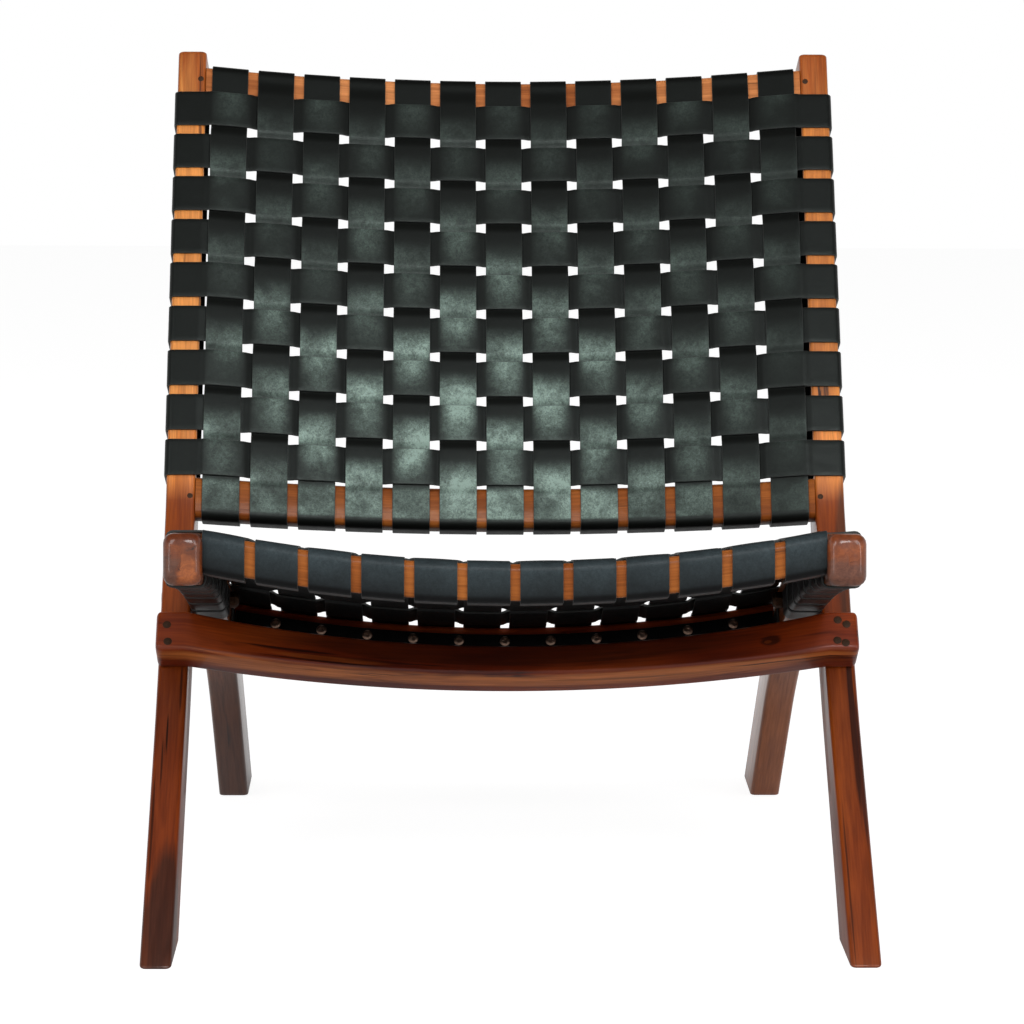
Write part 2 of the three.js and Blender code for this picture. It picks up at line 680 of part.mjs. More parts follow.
// Pivot hardware on one side, turned about the pivot axis. Profiles are radius and distance from
// the chair's middle.
function turned(profile, side) {
  const points = profile.map(([radius, x]) => new THREE.Vector2(radius, x));
  const geometry = new THREE.LatheGeometry(points, 12);
  geometry.rotateZ(side > 0 ? -Math.PI / 2 : Math.PI / 2);
  return geometry.translate(0, pivot.x, pivot.y);
}

const nutInner = RAIL_INNER - FIT - NUT_THICK;
const boltEnd = nutInner + NUT_CAP_THICK + FIT;
const headFace = CHAIR_WIDTH / 2 + FIT;

function bolt(side) {
  const rim = headFace + BOLT_HEAD_THICK / 2;
  return turned(
    [
      [0, boltEnd],
      [BOLT_RADIUS, boltEnd],
      [BOLT_RADIUS, headFace],
      [BOLT_HEAD_RADIUS, headFace],
      [BOLT_HEAD_RADIUS, rim],
      [BOLT_HEAD_RADIUS - BOLT_HEAD_THICK / 2, headFace + BOLT_HEAD_THICK],
      [0, headFace + BOLT_HEAD_THICK],
    ],
    side,
  );
}

function capNut(side) {
  const seat = RAIL_INNER - FIT;
  const bore = BOLT_RADIUS + FIT;
  return turned(
    [
      [0, nutInner],
      [NUT_RADIUS - NUT_CAP_THICK, nutInner],
      [NUT_RADIUS, nutInner + NUT_CAP_THICK],
      [NUT_RADIUS, seat],
      [bore, seat],
      [bore, nutInner + NUT_CAP_THICK],
      [0, nutInner + NUT_CAP_THICK],
    ],
    side,
  );
}

function washer(side) {
  const bore = BOLT_RADIUS + FIT;
  return turned(
    [
      [bore, RAIL_OUTER + FIT],
      [WASHER_RADIUS, RAIL_OUTER + FIT],
      [WASHER_RADIUS, POST_INNER - FIT],
      [bore, POST_INNER - FIT],
      [bore, RAIL_OUTER + FIT],
    ],
    side,
  );
}

// Assembly
const chair = new THREE.Group();
const backFrame = new THREE.Group();
const seatFrame = new THREE.Group();
chair.add(backFrame, seatFrame);

function addPart(group, name, geometry, material) {
  const mesh = new THREE.Mesh(geometry, material());
  mesh.name = name;
  group.add(mesh);
}

const numbered = (name, index) => `${name}_${String(index + 1).padStart(2, "0")}`;
const sides = [
  ["left", -1],
  ["right", 1],
];

for (const [word, side] of sides) {
  const slats = [topSlat, lowerSlat];
  const bars = [frontBar, rearBar];
  const post = sideMember(postOutline(), POST_INNER, POST_THICK, POST_EDGE_RADIUS, side, slats);
  const rail = sideMember(railOutline(), RAIL_INNER, RAIL_THICK, RAIL_EDGE_RADIUS, side, bars);
  addPart(backFrame, `${word}_post`, post, honeyWood);
  addPart(seatFrame, `${word}_seat_rail`, rail, redWood);
  addPart(backFrame, `${word}_pivot_bolt`, bolt(side), steel);
  addPart(backFrame, `${word}_pivot_nut`, capNut(side), steel);
  addPart(backFrame, `${word}_pivot_washer`, washer(side), steel);
}
addPart(backFrame, "top_slat", crossPiece(topSlat), honeyWood);
addPart(backFrame, "lower_slat", crossPiece(lowerSlat), honeyWood);
addPart(backFrame, "front_crossbar", crossbarGeometry(), darkWood);
addPart(seatFrame, "seat_front_bar", crossPiece(frontBar), honeyWood);
addPart(seatFrame, "seat_rear_bar", crossPiece(rearBar), redWood);
addPart(seatFrame, "rear_bar_strip", rearStrip(), leather);
backColumns.forEach((x, i) =>
  addPart(backFrame, numbered("back_strap_down", i), backColumn(x, i), leather),
);
backRows.forEach((drop, i) =>
  addPart(backFrame, numbered("back_strap_across", i), backRow(drop, i), leather),
);
seatColumns.forEach((x, i) =>
  addPart(seatFrame, numbered("seat_strap_along", i), seatColumn(x, i), leather),
);
seatRows.forEach((s, i) => addPart(seatFrame, numbered("seat_strap_across", i), seatRow(s, i), leather));

// The part's origin is on the floor, in the middle of the space that the chair takes.
const bounds = new THREE.Box3().setFromObject(chair);
chair.position.set(0, -(bounds.min.y + bounds.max.y) / 2, 0);

export default chair;
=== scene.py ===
# %% [markdown]
# A low lounge chair: two bent hardwood frames cross at the sides, and black leather straps are woven
# over and under each other to make the back and the seat. The measured model comes first, as a frame
# that nothing here moves. Every piece below is built again over it with its real roundings, its
# leather and its lacquered wood. Sizes are in metres, with the front towards -Y.

# %% Load the measured model
import json
import math

import bmesh
import bpy
from mathutils import Matrix, Vector


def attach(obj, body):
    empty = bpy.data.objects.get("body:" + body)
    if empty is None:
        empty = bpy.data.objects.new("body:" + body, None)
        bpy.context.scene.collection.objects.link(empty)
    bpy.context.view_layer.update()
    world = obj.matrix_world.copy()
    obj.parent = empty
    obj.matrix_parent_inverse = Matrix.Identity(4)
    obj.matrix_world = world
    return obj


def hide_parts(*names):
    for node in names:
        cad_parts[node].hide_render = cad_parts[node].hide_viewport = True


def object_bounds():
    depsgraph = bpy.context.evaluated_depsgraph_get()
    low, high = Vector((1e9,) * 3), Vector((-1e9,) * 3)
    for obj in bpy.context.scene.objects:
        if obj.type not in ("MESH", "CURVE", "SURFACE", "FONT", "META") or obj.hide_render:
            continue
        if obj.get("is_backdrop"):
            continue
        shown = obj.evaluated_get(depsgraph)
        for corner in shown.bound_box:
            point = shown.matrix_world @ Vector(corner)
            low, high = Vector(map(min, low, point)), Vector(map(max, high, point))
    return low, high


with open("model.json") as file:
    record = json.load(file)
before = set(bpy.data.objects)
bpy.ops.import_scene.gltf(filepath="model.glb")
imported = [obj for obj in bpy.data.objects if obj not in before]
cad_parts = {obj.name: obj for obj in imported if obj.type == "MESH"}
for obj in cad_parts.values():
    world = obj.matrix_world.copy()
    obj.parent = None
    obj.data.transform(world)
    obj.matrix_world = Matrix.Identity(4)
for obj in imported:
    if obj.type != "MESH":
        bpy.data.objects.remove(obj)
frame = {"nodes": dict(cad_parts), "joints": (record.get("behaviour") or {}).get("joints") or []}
cad_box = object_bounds()
print("frame nodes", len(frame["nodes"]))

MM = 0.001
QUARTER = math.pi / 2
ACROSS = Vector((1, 0, 0))
PIVOT = Vector(frame["joints"][0]["pos_m"])
BACK_BODY, SEAT_BODY = "back_frame", "seat_frame"
SIDES = (("left", -1), ("right", 1))


def new_object(name, data):
    """Puts a mesh, a lamp or a camera into the scene."""
    made = bpy.data.objects.new(name, data)
    bpy.context.scene.collection.objects.link(made)
    return made


# %% [markdown]
# The camera stands 3 m in front of the chair and a little higher than its back, and looks down
# slightly. A long lens keeps the posts nearly parallel, as in a catalogue picture. It could be aimed
# by a constraint; here its place and turns are numbers, because they were worked out from where the
# feet, the rail ends and the post tops lie in the photograph.

# %% Camera
CAMERA_FROM_PIVOT = Vector((-0.0646, -2.9903, 0.6372))
CAMERA_YAW, CAMERA_PITCH, CAMERA_ROLL = 1.334, 10.459, -0.326
FOCAL_SHARE = 3214.1 / 1024
SENSOR_MM, SEEN_UP_TO = 36.0, 60


def make_camera():
    yaw, pitch, roll = (math.radians(a) for a in (CAMERA_YAW, CAMERA_PITCH, CAMERA_ROLL))
    flat = math.cos(pitch)
    forward = Vector((math.sin(yaw) * flat, math.cos(yaw) * flat, -math.sin(pitch)))
    level = Vector((math.cos(yaw), -math.sin(yaw), 0))
    right = level * math.cos(roll) + forward.cross(level) * math.sin(roll)
    turned = Matrix((right, right.cross(forward), -forward)).transposed().to_4x4()
    data = bpy.data.cameras.new("photo_camera")
    data.sensor_width = SENSOR_MM
    data.lens = FOCAL_SHARE * SENSOR_MM
    data.clip_end = SEEN_UP_TO
    made = new_object("photo_camera", data)
    made.matrix_world = Matrix.Translation(PIVOT + CAMERA_FROM_PIVOT) @ turned
    bpy.context.scene.camera = made
    return made


camera = make_camera()
print("camera", [round(v, 3) for v in camera.location])

# %% [markdown]
# Both bent members are drawn on one centre line each. A path is a list of runs, straight or turning
# evenly, and a station on it has a point and a heading in the side plane (depth, height). The same
# numbers as in the measured model give the same bends, so that the new surfaces lie on its solids.

# %% Side paths
POST_THICK, POST_DEPTH = 28 * MM, 50 * MM
RAIL_THICK, RAIL_DEPTH, REAR_LEG_DEPTH = 30 * MM, 44 * MM, 52 * MM
CHAIR_HALF, SIDE_GAP = 325 * MM, 4 * MM
POST_INNER = CHAIR_HALF - POST_THICK
RAIL_OUTER = POST_INNER - SIDE_GAP
RAIL_INNER = RAIL_OUTER - RAIL_THICK
POST_PIVOT_ANGLE, BACK_ANGLE, FRONT_LEG_ANGLE = 52.6, 61.6, 42.8
RAIL_PIVOT_ANGLE, RAIL_HIP_ANGLE, RAIL_KNOB_ANGLE, REAR_LEG_ANGLE = 26.5, 22, 10, 47.5
NECK_LENGTH, NECK_RADIUS, KNEE_RADIUS, BACK_LENGTH = 77 * MM, 200 * MM, 1000 * MM, 463 * MM
HIP_RADIUS, RAIL_FRONT_LENGTH = 617 * MM, 334 * MM


class SidePath:
    """Runs of (length, turn in radians) from the pivot, with a heading in degrees to start with."""

    def __init__(self, heading, *runs):
        self.runs = runs
        self.starts = [(Vector((PIVOT.y, PIVOT.z)), math.radians(heading), 0.0)]
        for length, turn in runs:
            point, angle, at = self.starts[-1]
            self.starts.append((*self.go(point, angle, length, turn, length), at + length))
        self.length = self.starts[-1][2]

    @staticmethod
    def go(point, angle, distance, turn, length):
        turned = turn * distance / length
        chord = distance if turned == 0 else distance * math.sin(turned / 2) / (turned / 2)
        mean = angle + turned / 2
        return point + chord * Vector((math.cos(mean), math.sin(mean))), angle + turned

    def at(self, s):
        i = len(self.runs) - 1
        while i > 0 and s < self.starts[i][2]:
            i -= 1
        point, angle, start = self.starts[i]
        return self.go(point, angle, s - start, self.runs[i][1], self.runs[i][0])


def arc(radius, degrees):
    return (radius * math.radians(abs(degrees)), math.radians(degrees))


def beside(station, out, ahead=0.0):
    point, angle = station
    along = Vector((math.cos(angle), math.sin(angle)))
    return point + ahead * along + out * Vector((-along.y, along.x))


def two_way(forward, backward):
    """Stations on one path, and with s below zero on the other, always heading forward."""
    def station(s):
        if s >= 0:
            return forward.at(s)
        point, angle = backward.at(-s)
        return point, angle + math.pi
    return station


to_floor = (PIVOT.z, 0)
post_path = SidePath(
    POST_PIVOT_ANGLE, (NECK_LENGTH, 0),
    arc(NECK_RADIUS, BACK_ANGLE - POST_PIVOT_ANGLE), (BACK_LENGTH, 0),
)
leg_path = SidePath(
    180 + POST_PIVOT_ANGLE, arc(KNEE_RADIUS, FRONT_LEG_ANGLE - POST_PIVOT_ANGLE), to_floor
)
rail_path = SidePath(
    180 - RAIL_PIVOT_ANGLE, arc(HIP_RADIUS, RAIL_PIVOT_ANGLE - RAIL_HIP_ANGLE),
    (RAIL_FRONT_LENGTH, math.radians(RAIL_HIP_ANGLE - RAIL_KNOB_ANGLE)),
)
rear_path = SidePath(
    -RAIL_PIVOT_ANGLE, arc(HIP_RADIUS, RAIL_PIVOT_ANGLE - REAR_LEG_ANGLE), to_floor
)
post_station = two_way(post_path, leg_path)
seat_station = two_way(rail_path, rear_path)
print("post", round(post_path.length, 4), "rail", round(rail_path.length, 4))

# %% [markdown]
# Every finish here is a graph of nodes. It could be drawn by hand in the shader editor, but code
# gives the same graph each run. These helpers take plain values and other nodes' outputs alike.

# %% Helpers for nodes
def feed(tree, value, slot):
    """Links the output of a node to a slot, or sets the slot to a plain value."""
    if isinstance(value, bpy.types.NodeSocket):
        tree.links.new(value, slot)
    else:
        slot.default_value = value


def fill(tree, made, values):
    """Each value sets the node's property of that name, or else feeds its input of that name."""
    for key, value in values.items():
        if hasattr(made, key):
            setattr(made, key, value)
        else:
            feed(tree, value, made.inputs[key.replace("_", " ")])
    return made


def add(tree, kind, *in_order, **values):
    """Adds a node. Values in order feed its inputs from the first on. Gives back its outputs."""
    made = fill(tree, tree.nodes.new(kind), values)
    for slot, value in zip(made.inputs, in_order):
        feed(tree, value, slot)
    return made.outputs


def maths(tree, operation, *values):
    return add(tree, "ShaderNodeMath", *values, operation=operation)[0]


def vectors(tree, operation, *values):
    made = add(tree, "ShaderNodeVectorMath", *values, operation=operation)
    return made["Value" if operation == "LENGTH" else "Vector"]


def scaled(tree, value, low, high, to_low=0.0, to_high=1.0):
    """A value carried from one range to another, and held at its ends."""
    return add(tree, "ShaderNodeMapRange", value, low, high, to_low, to_high)[0]


def ramp(tree, share, stops):
    """A colour that runs through (place, colour) stops."""
    made = tree.nodes.new("ShaderNodeValToRGB")
    while len(made.color_ramp.elements) < len(stops):
        made.color_ramp.elements.new(0.5)
    for element, (place, colour) in zip(made.color_ramp.elements, stops):
        element.position = place
        element.color = (*colour, 1)
    feed(tree, share, made.inputs[0])
    return made.outputs[0]


def grey(value):
    return (value, value, value)


def mix(tree, kind, share, a, b):
    made = fill(tree, tree.nodes.new("ShaderNodeMix"), {"data_type": "RGBA", "blend_type": kind})
    for i, value in ((0, share), (6, a), (7, b)):
        feed(tree, value, made.inputs[i])
    return made.outputs[2]


def noise_at(tree, place, scale, detail, roughness=0.5, distortion=0.0):
    return add(
        tree, "ShaderNodeTexNoise", Vector=place, Scale=scale, Detail=detail,
        Roughness=roughness, Distortion=distortion,
    )["Fac"]


def object_place(tree):
    return add(tree, "ShaderNodeTexCoord")["Object"]


def kept_value(tree, name, output="Fac"):
    """What every point of the mesh keeps under a name."""
    return add(tree, "ShaderNodeAttribute", attribute_name=name)[output]


def bump(tree, height, strength, distance, **under):
    """A normal for relief; Normal=... is the normal of a finer relief that it lies on."""
    relief = {"Height": height, "Strength": strength, "Distance": distance}
    return add(tree, "ShaderNodeBump", **relief, **under)[0]


def new_material(name):
    material = bpy.data.materials.new(name)
    material.use_nodes = True
    print("material", name)
    return material, material.node_tree, material.node_tree.nodes["Principled BSDF"]


# %% [markdown]
# Lacquered hardwood: the colour runs in long streaks along each board, so the pattern must follow
# the bends. A picture texture would need unwrapping; instead every vertex keeps a "grain" vector
# (distance along the board, then its place in the section), and noise stretched along that vector
# gives rings, fibres and dark streaks. A clear coat on top stands for the lacquer.

# %% Wood material
RING_DARK, FIBRE_DARK, FIBRE_PALE = (0.5, 0.4, 0.34), (0.55, 0.48, 0.42), grey(1.08)
RING_WAVES, TORN_DEPTH, STREAK_EDGE, FIBRE_SHARE, OFFSET_OUT = 26.0, 1.1, 0.09, 0.6, 0.7
MARK_OUTSIDE, MARK_INSIDE, WOOD_ROUGHNESS = 1.1, 0.75, (0.3, 0.7, 0.42, 0.3)
# Each noise: its scale (along, out, aside), its shift, then detail, roughness and distortion.
RINGS, FIBRES = ((3.2, 38, 38), 0.0, 3.0, 0.5, 0.9), ((22, 520, 520), 3.0, 5.0, 0.65)
PATCHES, STREAKS = ((5, 16, 16), 7.0, 2.0, 0.5), ((4.5, 85, 85), 11.0, 4.0, 0.6, 0.6)


def mark(tree, base, grain, torn, centre, size, colour, most):
    """A streak, knot, stain or patch of painted light or shade in its own place on the board:
    an ellipsoid with a torn edge.
    """
    away = vectors(tree, "DIVIDE", vectors(tree, "SUBTRACT", grain, centre), size)
    ragged = maths(tree, "ADD", vectors(tree, "LENGTH", away), torn)
    share = scaled(tree, ragged, MARK_OUTSIDE, MARK_INSIDE, 0.0, most)
    return mix(tree, "MIX", share, base, (*colour, 1))


def wood_material(
    name, tones, streak, streak_share, offset, heights=None, marks=(),
    ring_depth=0.4, coat=0.22, gloss=0.25,
):
    """tones: dark, middle, pale. heights: ((z, tint), ...) tints the colour up the chair."""
    material, tree, shader = new_material(name)
    grain = kept_value(tree, "grain", "Vector")

    def noise(scale, shift, *look):
        at = (offset + shift, offset * OFFSET_OUT, shift)
        placed = add(tree, "ShaderNodeMapping", Vector=grain, Location=at, Scale=scale)[0]
        return noise_at(tree, placed, 1.0, *look)

    rings, fibres, patches, streaks = (noise(*look) for look in (RINGS, FIBRES, PATCHES, STREAKS))
    waves = maths(tree, "SINE", maths(tree, "MULTIPLY", rings, RING_WAVES))
    torn = maths(tree, "MULTIPLY", maths(tree, "SUBTRACT", streaks, 0.5), TORN_DEPTH)

    base = ramp(tree, patches, list(zip((0.32, 0.5, 0.68), tones)))
    if heights:
        height = add(tree, "ShaderNodeSeparateXYZ", object_place(tree))["Z"]
        base = mix(tree, "MULTIPLY", 1.0, base, ramp(tree, height, heights))
    for each in marks:
        base = mark(tree, base, grain, torn, *each)
    ring_tint = ramp(tree, scaled(tree, waves, -1.0, 1.0), [(0.0, RING_DARK), (0.7, grey(1))])
    ringed = mix(tree, "MULTIPLY", ring_depth, base, ring_tint)
    fibre_tint = ramp(tree, fibres, [(0.35, FIBRE_DARK), (0.62, FIBRE_PALE)])
    fibred = mix(tree, "MULTIPLY", FIBRE_SHARE, ringed, fibre_tint)
    line = ramp(tree, streaks, [(streak_share, grey(0)), (streak_share + STREAK_EDGE, grey(1))])
    fill(tree, shader, {
        "Base Color": mix(tree, "MIX", line, fibred, (*streak, 1)),
        "Normal": bump(tree, fibres, 0.1, 0.5 * MM),
        "Roughness": scaled(tree, fibres, *WOOD_ROUGHNESS),
        "Coat Weight": coat,
        "Coat Roughness": 0.1,
        "Specular IOR Level": gloss,
    })
    return material


# %% [markdown]
# The real boards differ: the posts are honey-coloured above and red below, and streaks, knots and
# stains sit in certain places. Some marks are painted light instead: shade on the middle of the
# crossbar under the seat, a pale reflection of the floor low on its face, and reflections and a
# highlight on the left knob and the right post. The ramp up the posts also paints light between
# the slats. One picture for all would repeat. So each board has its own zero in the grain, and its
# marks are listed from there as (along, out, aside), size, colour and strength.

# %% The four woods
POST_SHIFT, RAIL_SHIFT, BAR_SHIFT = 1.7, 3.1, 4.2
SHIFT_ASIDE, SHIFT_OUT = 0.37, 0.6
# The ramp up the posts is partly tone, red below and honey above, and partly painted light: between
# the slats it makes them about twice as bright, to make up for the straps' shade.
POST_HEIGHTS = [
    (0.0, (0.64, 0.42, 0.36)), (0.2, (0.53, 0.31, 0.18)), (0.27, (0.56, 0.33, 0.12)),
    (0.31, (0.52, 0.3, 0.1)), (0.355, (0.68, 0.46, 0.16)), (0.375, (2.0, 2.3, 2.3)),
    (0.7, (2.3, 2.7, 2.5)), (0.73, (1.0, 0.85, 0.6)),
]
SLAT_HEIGHTS = [
    (0.3, (0.66, 0.62, 0.6)), (0.33, (0.66, 0.55, 0.36)), (0.45, (0.66, 0.55, 0.36)),
    (0.6, (1.05, 1.06, 1.15)),
]


def marks_on(zero, rows):
    """Marks that are given from a board's own zero."""
    return [(tuple(a + b for a, b in zip(zero, place)), *rest) for place, *rest in rows]


def side_zero(shift):
    return (shift, 0, shift * SHIFT_ASIDE)


post_marks_and_painted_light = marks_on(side_zero(-POST_SHIFT), [
    ((-0.158, 0.025, -0.002), (0.024, 0.02, 0.0011), (0.012, 0.004, 0.002), 0.95),
    ((-0.19, 0.025, -0.0052), (0.03, 0.02, 0.001), (0.02, 0.006, 0.003), 0.8),
    ((-0.25, 0.025, -0.0105), (0.06, 0.02, 0.0012), (0.02, 0.006, 0.003), 0.75),
    ((-0.345, 0.02, 0.004), (0.075, 0.04, 0.013), (0.05, 0.016, 0.009), 0.9),
    ((-0.4, 0.02, -0.002), (0.08, 0.05, 0.03), (0.06, 0.018, 0.01), 0.8),
    ((-0.11, 0.025, 0.0085), (0.03, 0.02, 0.0012), (0.03, 0.008, 0.004), 0.8),
    ((0.35, 0, 0), (0.21, 0.08, 0.05), (0.72, 0.29, 0.07), 0.75),
]) + marks_on(side_zero(POST_SHIFT), [
    ((-0.13, 0.025, 0.0075), (0.13, 0.02, 0.0028), (0.03, 0.007, 0.004), 0.92),
    ((-0.2, 0.025, 0.011), (0.08, 0.02, 0.0026), (0.045, 0.012, 0.008), 0.85),
    ((-0.33, 0.025, -0.009), (0.09, 0.02, 0.001), (0.03, 0.008, 0.004), 0.7),
    ((0.35, 0, 0), (0.21, 0.08, 0.05), (0.47, 0.16, 0.035), 0.7),
    # Painted reflection: the outer half of the right post's front is darker around the pivot.
    ((0.03, 0.025, 0.0095), (0.09, 0.03, 0.0075), (0.09, 0.03, 0.014), 0.8),
])
rail_marks_and_painted_light = marks_on(side_zero(-RAIL_SHIFT), [
    ((-0.28, 0, 0), (0.2, 0.08, 0.05), (0.05, 0.021, 0.013), 0.65),
    ((0.382, -0.02, 0), (0.03, 0.009, 0.03), (0.1, 0.022, 0.008), 0.7),
    # Painted reflection and highlight on the left knob's end: a dark wedge on its outer side and a
    # paler orange patch low on its inner side.
    ((0.382, 0.012, -0.013), (0.03, 0.022, 0.009), (0.1, 0.04, 0.024), 0.75),
    ((0.382, 0.008, 0.004), (0.03, 0.012, 0.008), (0.42, 0.12, 0.03), 0.6),
]) + marks_on(side_zero(RAIL_SHIFT), [
    ((-0.28, 0, 0), (0.2, 0.08, 0.05), (0.52, 0.15, 0.035), 0.65),
    ((0.382, -0.02, 0), (0.03, 0.009, 0.03), (0.14, 0.035, 0.014), 0.6),
    ((0.382, 0.014, 0), (0.03, 0.015, 0.03), (0.12, 0.05, 0.033), 0.7),
])
crossbar_marks_and_painted_light = marks_on((BAR_SHIFT, BAR_SHIFT * SHIFT_OUT, 0), [
    # Painted shade: the upper middle of the face is darker, under the seat.
    ((0, 0.006, 0.019), (0.24, 0.016, 0.014), (0.04, 0.006, 0.001), 0.75),
    ((-0.16, -0.009, 0.019), (0.06, 0.003, 0.01), (0.3, 0.07, 0.01), 0.6),
    ((-0.2, -0.004, 0.019), (0.055, 0.0015, 0.01), (0.012, 0.002, 0.001), 0.9),
    ((-0.17, -0.0125, 0.019), (0.06, 0.001, 0.01), (0.012, 0.002, 0.001), 0.8),
    ((0.243, -0.001, 0.019), (0.011, 0.006, 0.01), (0.02, 0.003, 0.001), 0.85),
    ((0.24, -0.002, 0.019), (0.004, 0.002, 0.01), (0.16, 0.03, 0.005), 0.8),
    # Painted reflection of the floor: the low band of the face is paler along its middle.
    ((0, -0.02, 0.006), (0.36, 0.0075, 0.016), (0.6, 0.19, 0.045), 0.75),
    ((0.1, -0.02, 0.004), (0.09, 0.006, 0.003), (0.1, 0.025, 0.008), 0.6),
])
honey = wood_material(
    "honey_wood", ((0.26, 0.062, 0.01), (0.36, 0.1, 0.017), (0.46, 0.15, 0.03)),
    (0.03, 0.008, 0.004), 0.655, 0.0, POST_HEIGHTS, post_marks_and_painted_light,
)
slat_wood = wood_material(
    "slat_wood", ((0.28, 0.08, 0.018), (0.42, 0.14, 0.038), (0.55, 0.21, 0.065)),
    (0.03, 0.01, 0.005), 0.64, 5.0, SLAT_HEIGHTS, coat=0.06, gloss=0.1,
)
red_wood = wood_material(
    "red_wood", ((0.12, 0.028, 0.006), (0.21, 0.048, 0.008), (0.29, 0.072, 0.014)),
    (0.02, 0.006, 0.003), 0.64, 9.0, marks=rail_marks_and_painted_light, coat=0.45,
)
bar_wood = wood_material(
    "crossbar_wood", ((0.1, 0.009, 0.001), (0.19, 0.023, 0.002), (0.27, 0.046, 0.005)),
    (0.015, 0.002, 0.001), 0.6, 14.0, marks=crossbar_marks_and_painted_light, ring_depth=0.55, coat=0.16,
)

# %% [markdown]
# A bandsawn, routed and sanded stick has the same rounded section all along. It could be a curve
# with a bevel, but then its ends stay raw. So it is lofted: a rounded rectangle is set square to the
# path at each station, rings are joined with quads, and the ends are drawn in ring by ring.

# %% Helpers for lofted pieces
CORNER_STEPS, MOST_ROUND = 4, 0.98


def smooth(share):
    share = min(max(share, 0.0), 1.0)
    return share * share * (3 - 2 * share)


def eased(distance, radius):
    """How far a face is drawn in near an end that is rounded by a radius."""
    if distance >= radius:
        return 0.0
    return radius - math.sqrt(max(radius**2 - (radius - distance) ** 2, 0.0))


def rounded_section(half_u, half_v, edge, low_edge=None):
    """Points of a rounded rectangle, anticlockwise. Its low side may be rounded otherwise."""
    points = []
    for corner in range(4):
        sign_u = 1 if corner in (0, 3) else -1
        sign_v = 1 if corner in (0, 1) else -1
        radius = edge if sign_u > 0 or low_edge is None else low_edge
        radius = min(radius, half_u * MOST_ROUND, half_v * MOST_ROUND)
        for i in range(CORNER_STEPS + 1):
            a = math.radians(90 * corner + 90 * i / CORNER_STEPS)
            u = sign_u * (half_u - radius) + radius * math.cos(a)
            points.append((u, sign_v * (half_v - radius) + radius * math.sin(a)))
    return points


def write_mesh(bm, mesh, sharp_degrees):
    """Turns the faces outwards and shades them smooth, with a crease where they turn sharply."""
    bmesh.ops.recalc_face_normals(bm, faces=bm.faces)
    bm.to_mesh(mesh)
    bm.free()
    mesh.shade_smooth()
    mesh.set_sharp_from_angle(angle=math.radians(sharp_degrees))


def join_rings(name, rings, grains=(), sharp_degrees=38):
    """Joins rings of points into a tube with flat ends. The points may keep grain vectors."""
    mesh = bpy.data.meshes.new(name)
    bm = bmesh.new()
    if grains:
        layer = bm.verts.layers.float_vector.new("grain")
    made = [[bm.verts.new(p) for p in ring] for ring in rings]
    for verts, grain in zip(made, grains):
        for vert, kept in zip(verts, grain):
            vert[layer] = kept
    count = len(made[0])
    for a, b in zip(made, made[1:]):
        for i in range(count):
            j = (i + 1) % count
            bm.faces.new((a[i], a[j], b[j], b[i]))
    bm.faces.new(list(reversed(made[0])))
    bm.faces.new(made[-1])
    write_mesh(bm, mesh, sharp_degrees)
    return new_object(name, mesh)


def coat_with(obj, material):
    obj.data.materials.clear()
    obj.data.materials.append(material)


def place(obj, material, body, slot, *nodes):
    """Gives a finished piece its material and its body, and hides the node that it stands for.
    The slot is not used.
    """
    if material is not None:
        coat_with(obj, material)
    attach(obj, body)
    if nodes:
        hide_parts(*nodes)
    return obj


# %% [markdown]
# The side members run from a foot that is cut level to a rounded end. The feet grow a little deeper
# towards the floor, and the rails swell into a bare knob past the last strap. Near the floor each
# point of a ring is slid along the leg, until the last ring lies flat on it.

# %% A side member
FOOT_BLEND, FOOT_ROUND, FOOT_RINGS = 90 * MM, 3.5 * MM, 6
LOFT_STEPS, END_RINGS, HALVINGS = 110, 9, 40
KNOB_LENGTH, KNOB_SWELL, KNOB_BLEND = 40 * MM, 1.3 * MM, 12 * MM
DOME_RINGS = ((0.75, 0.6), (0.45, 0.9), (0.15, 1.0))


def floor_station(station, out):
    """Where the line beside a leg, at a distance out from its middle, meets the floor."""
    low, high = -3 * PIVOT.z, 0.0
    for _ in range(HALVINGS):
        middle = (low + high) / 2
        if beside(station(middle), out).y > 0:
            high = middle
        else:
            low = middle
    return high


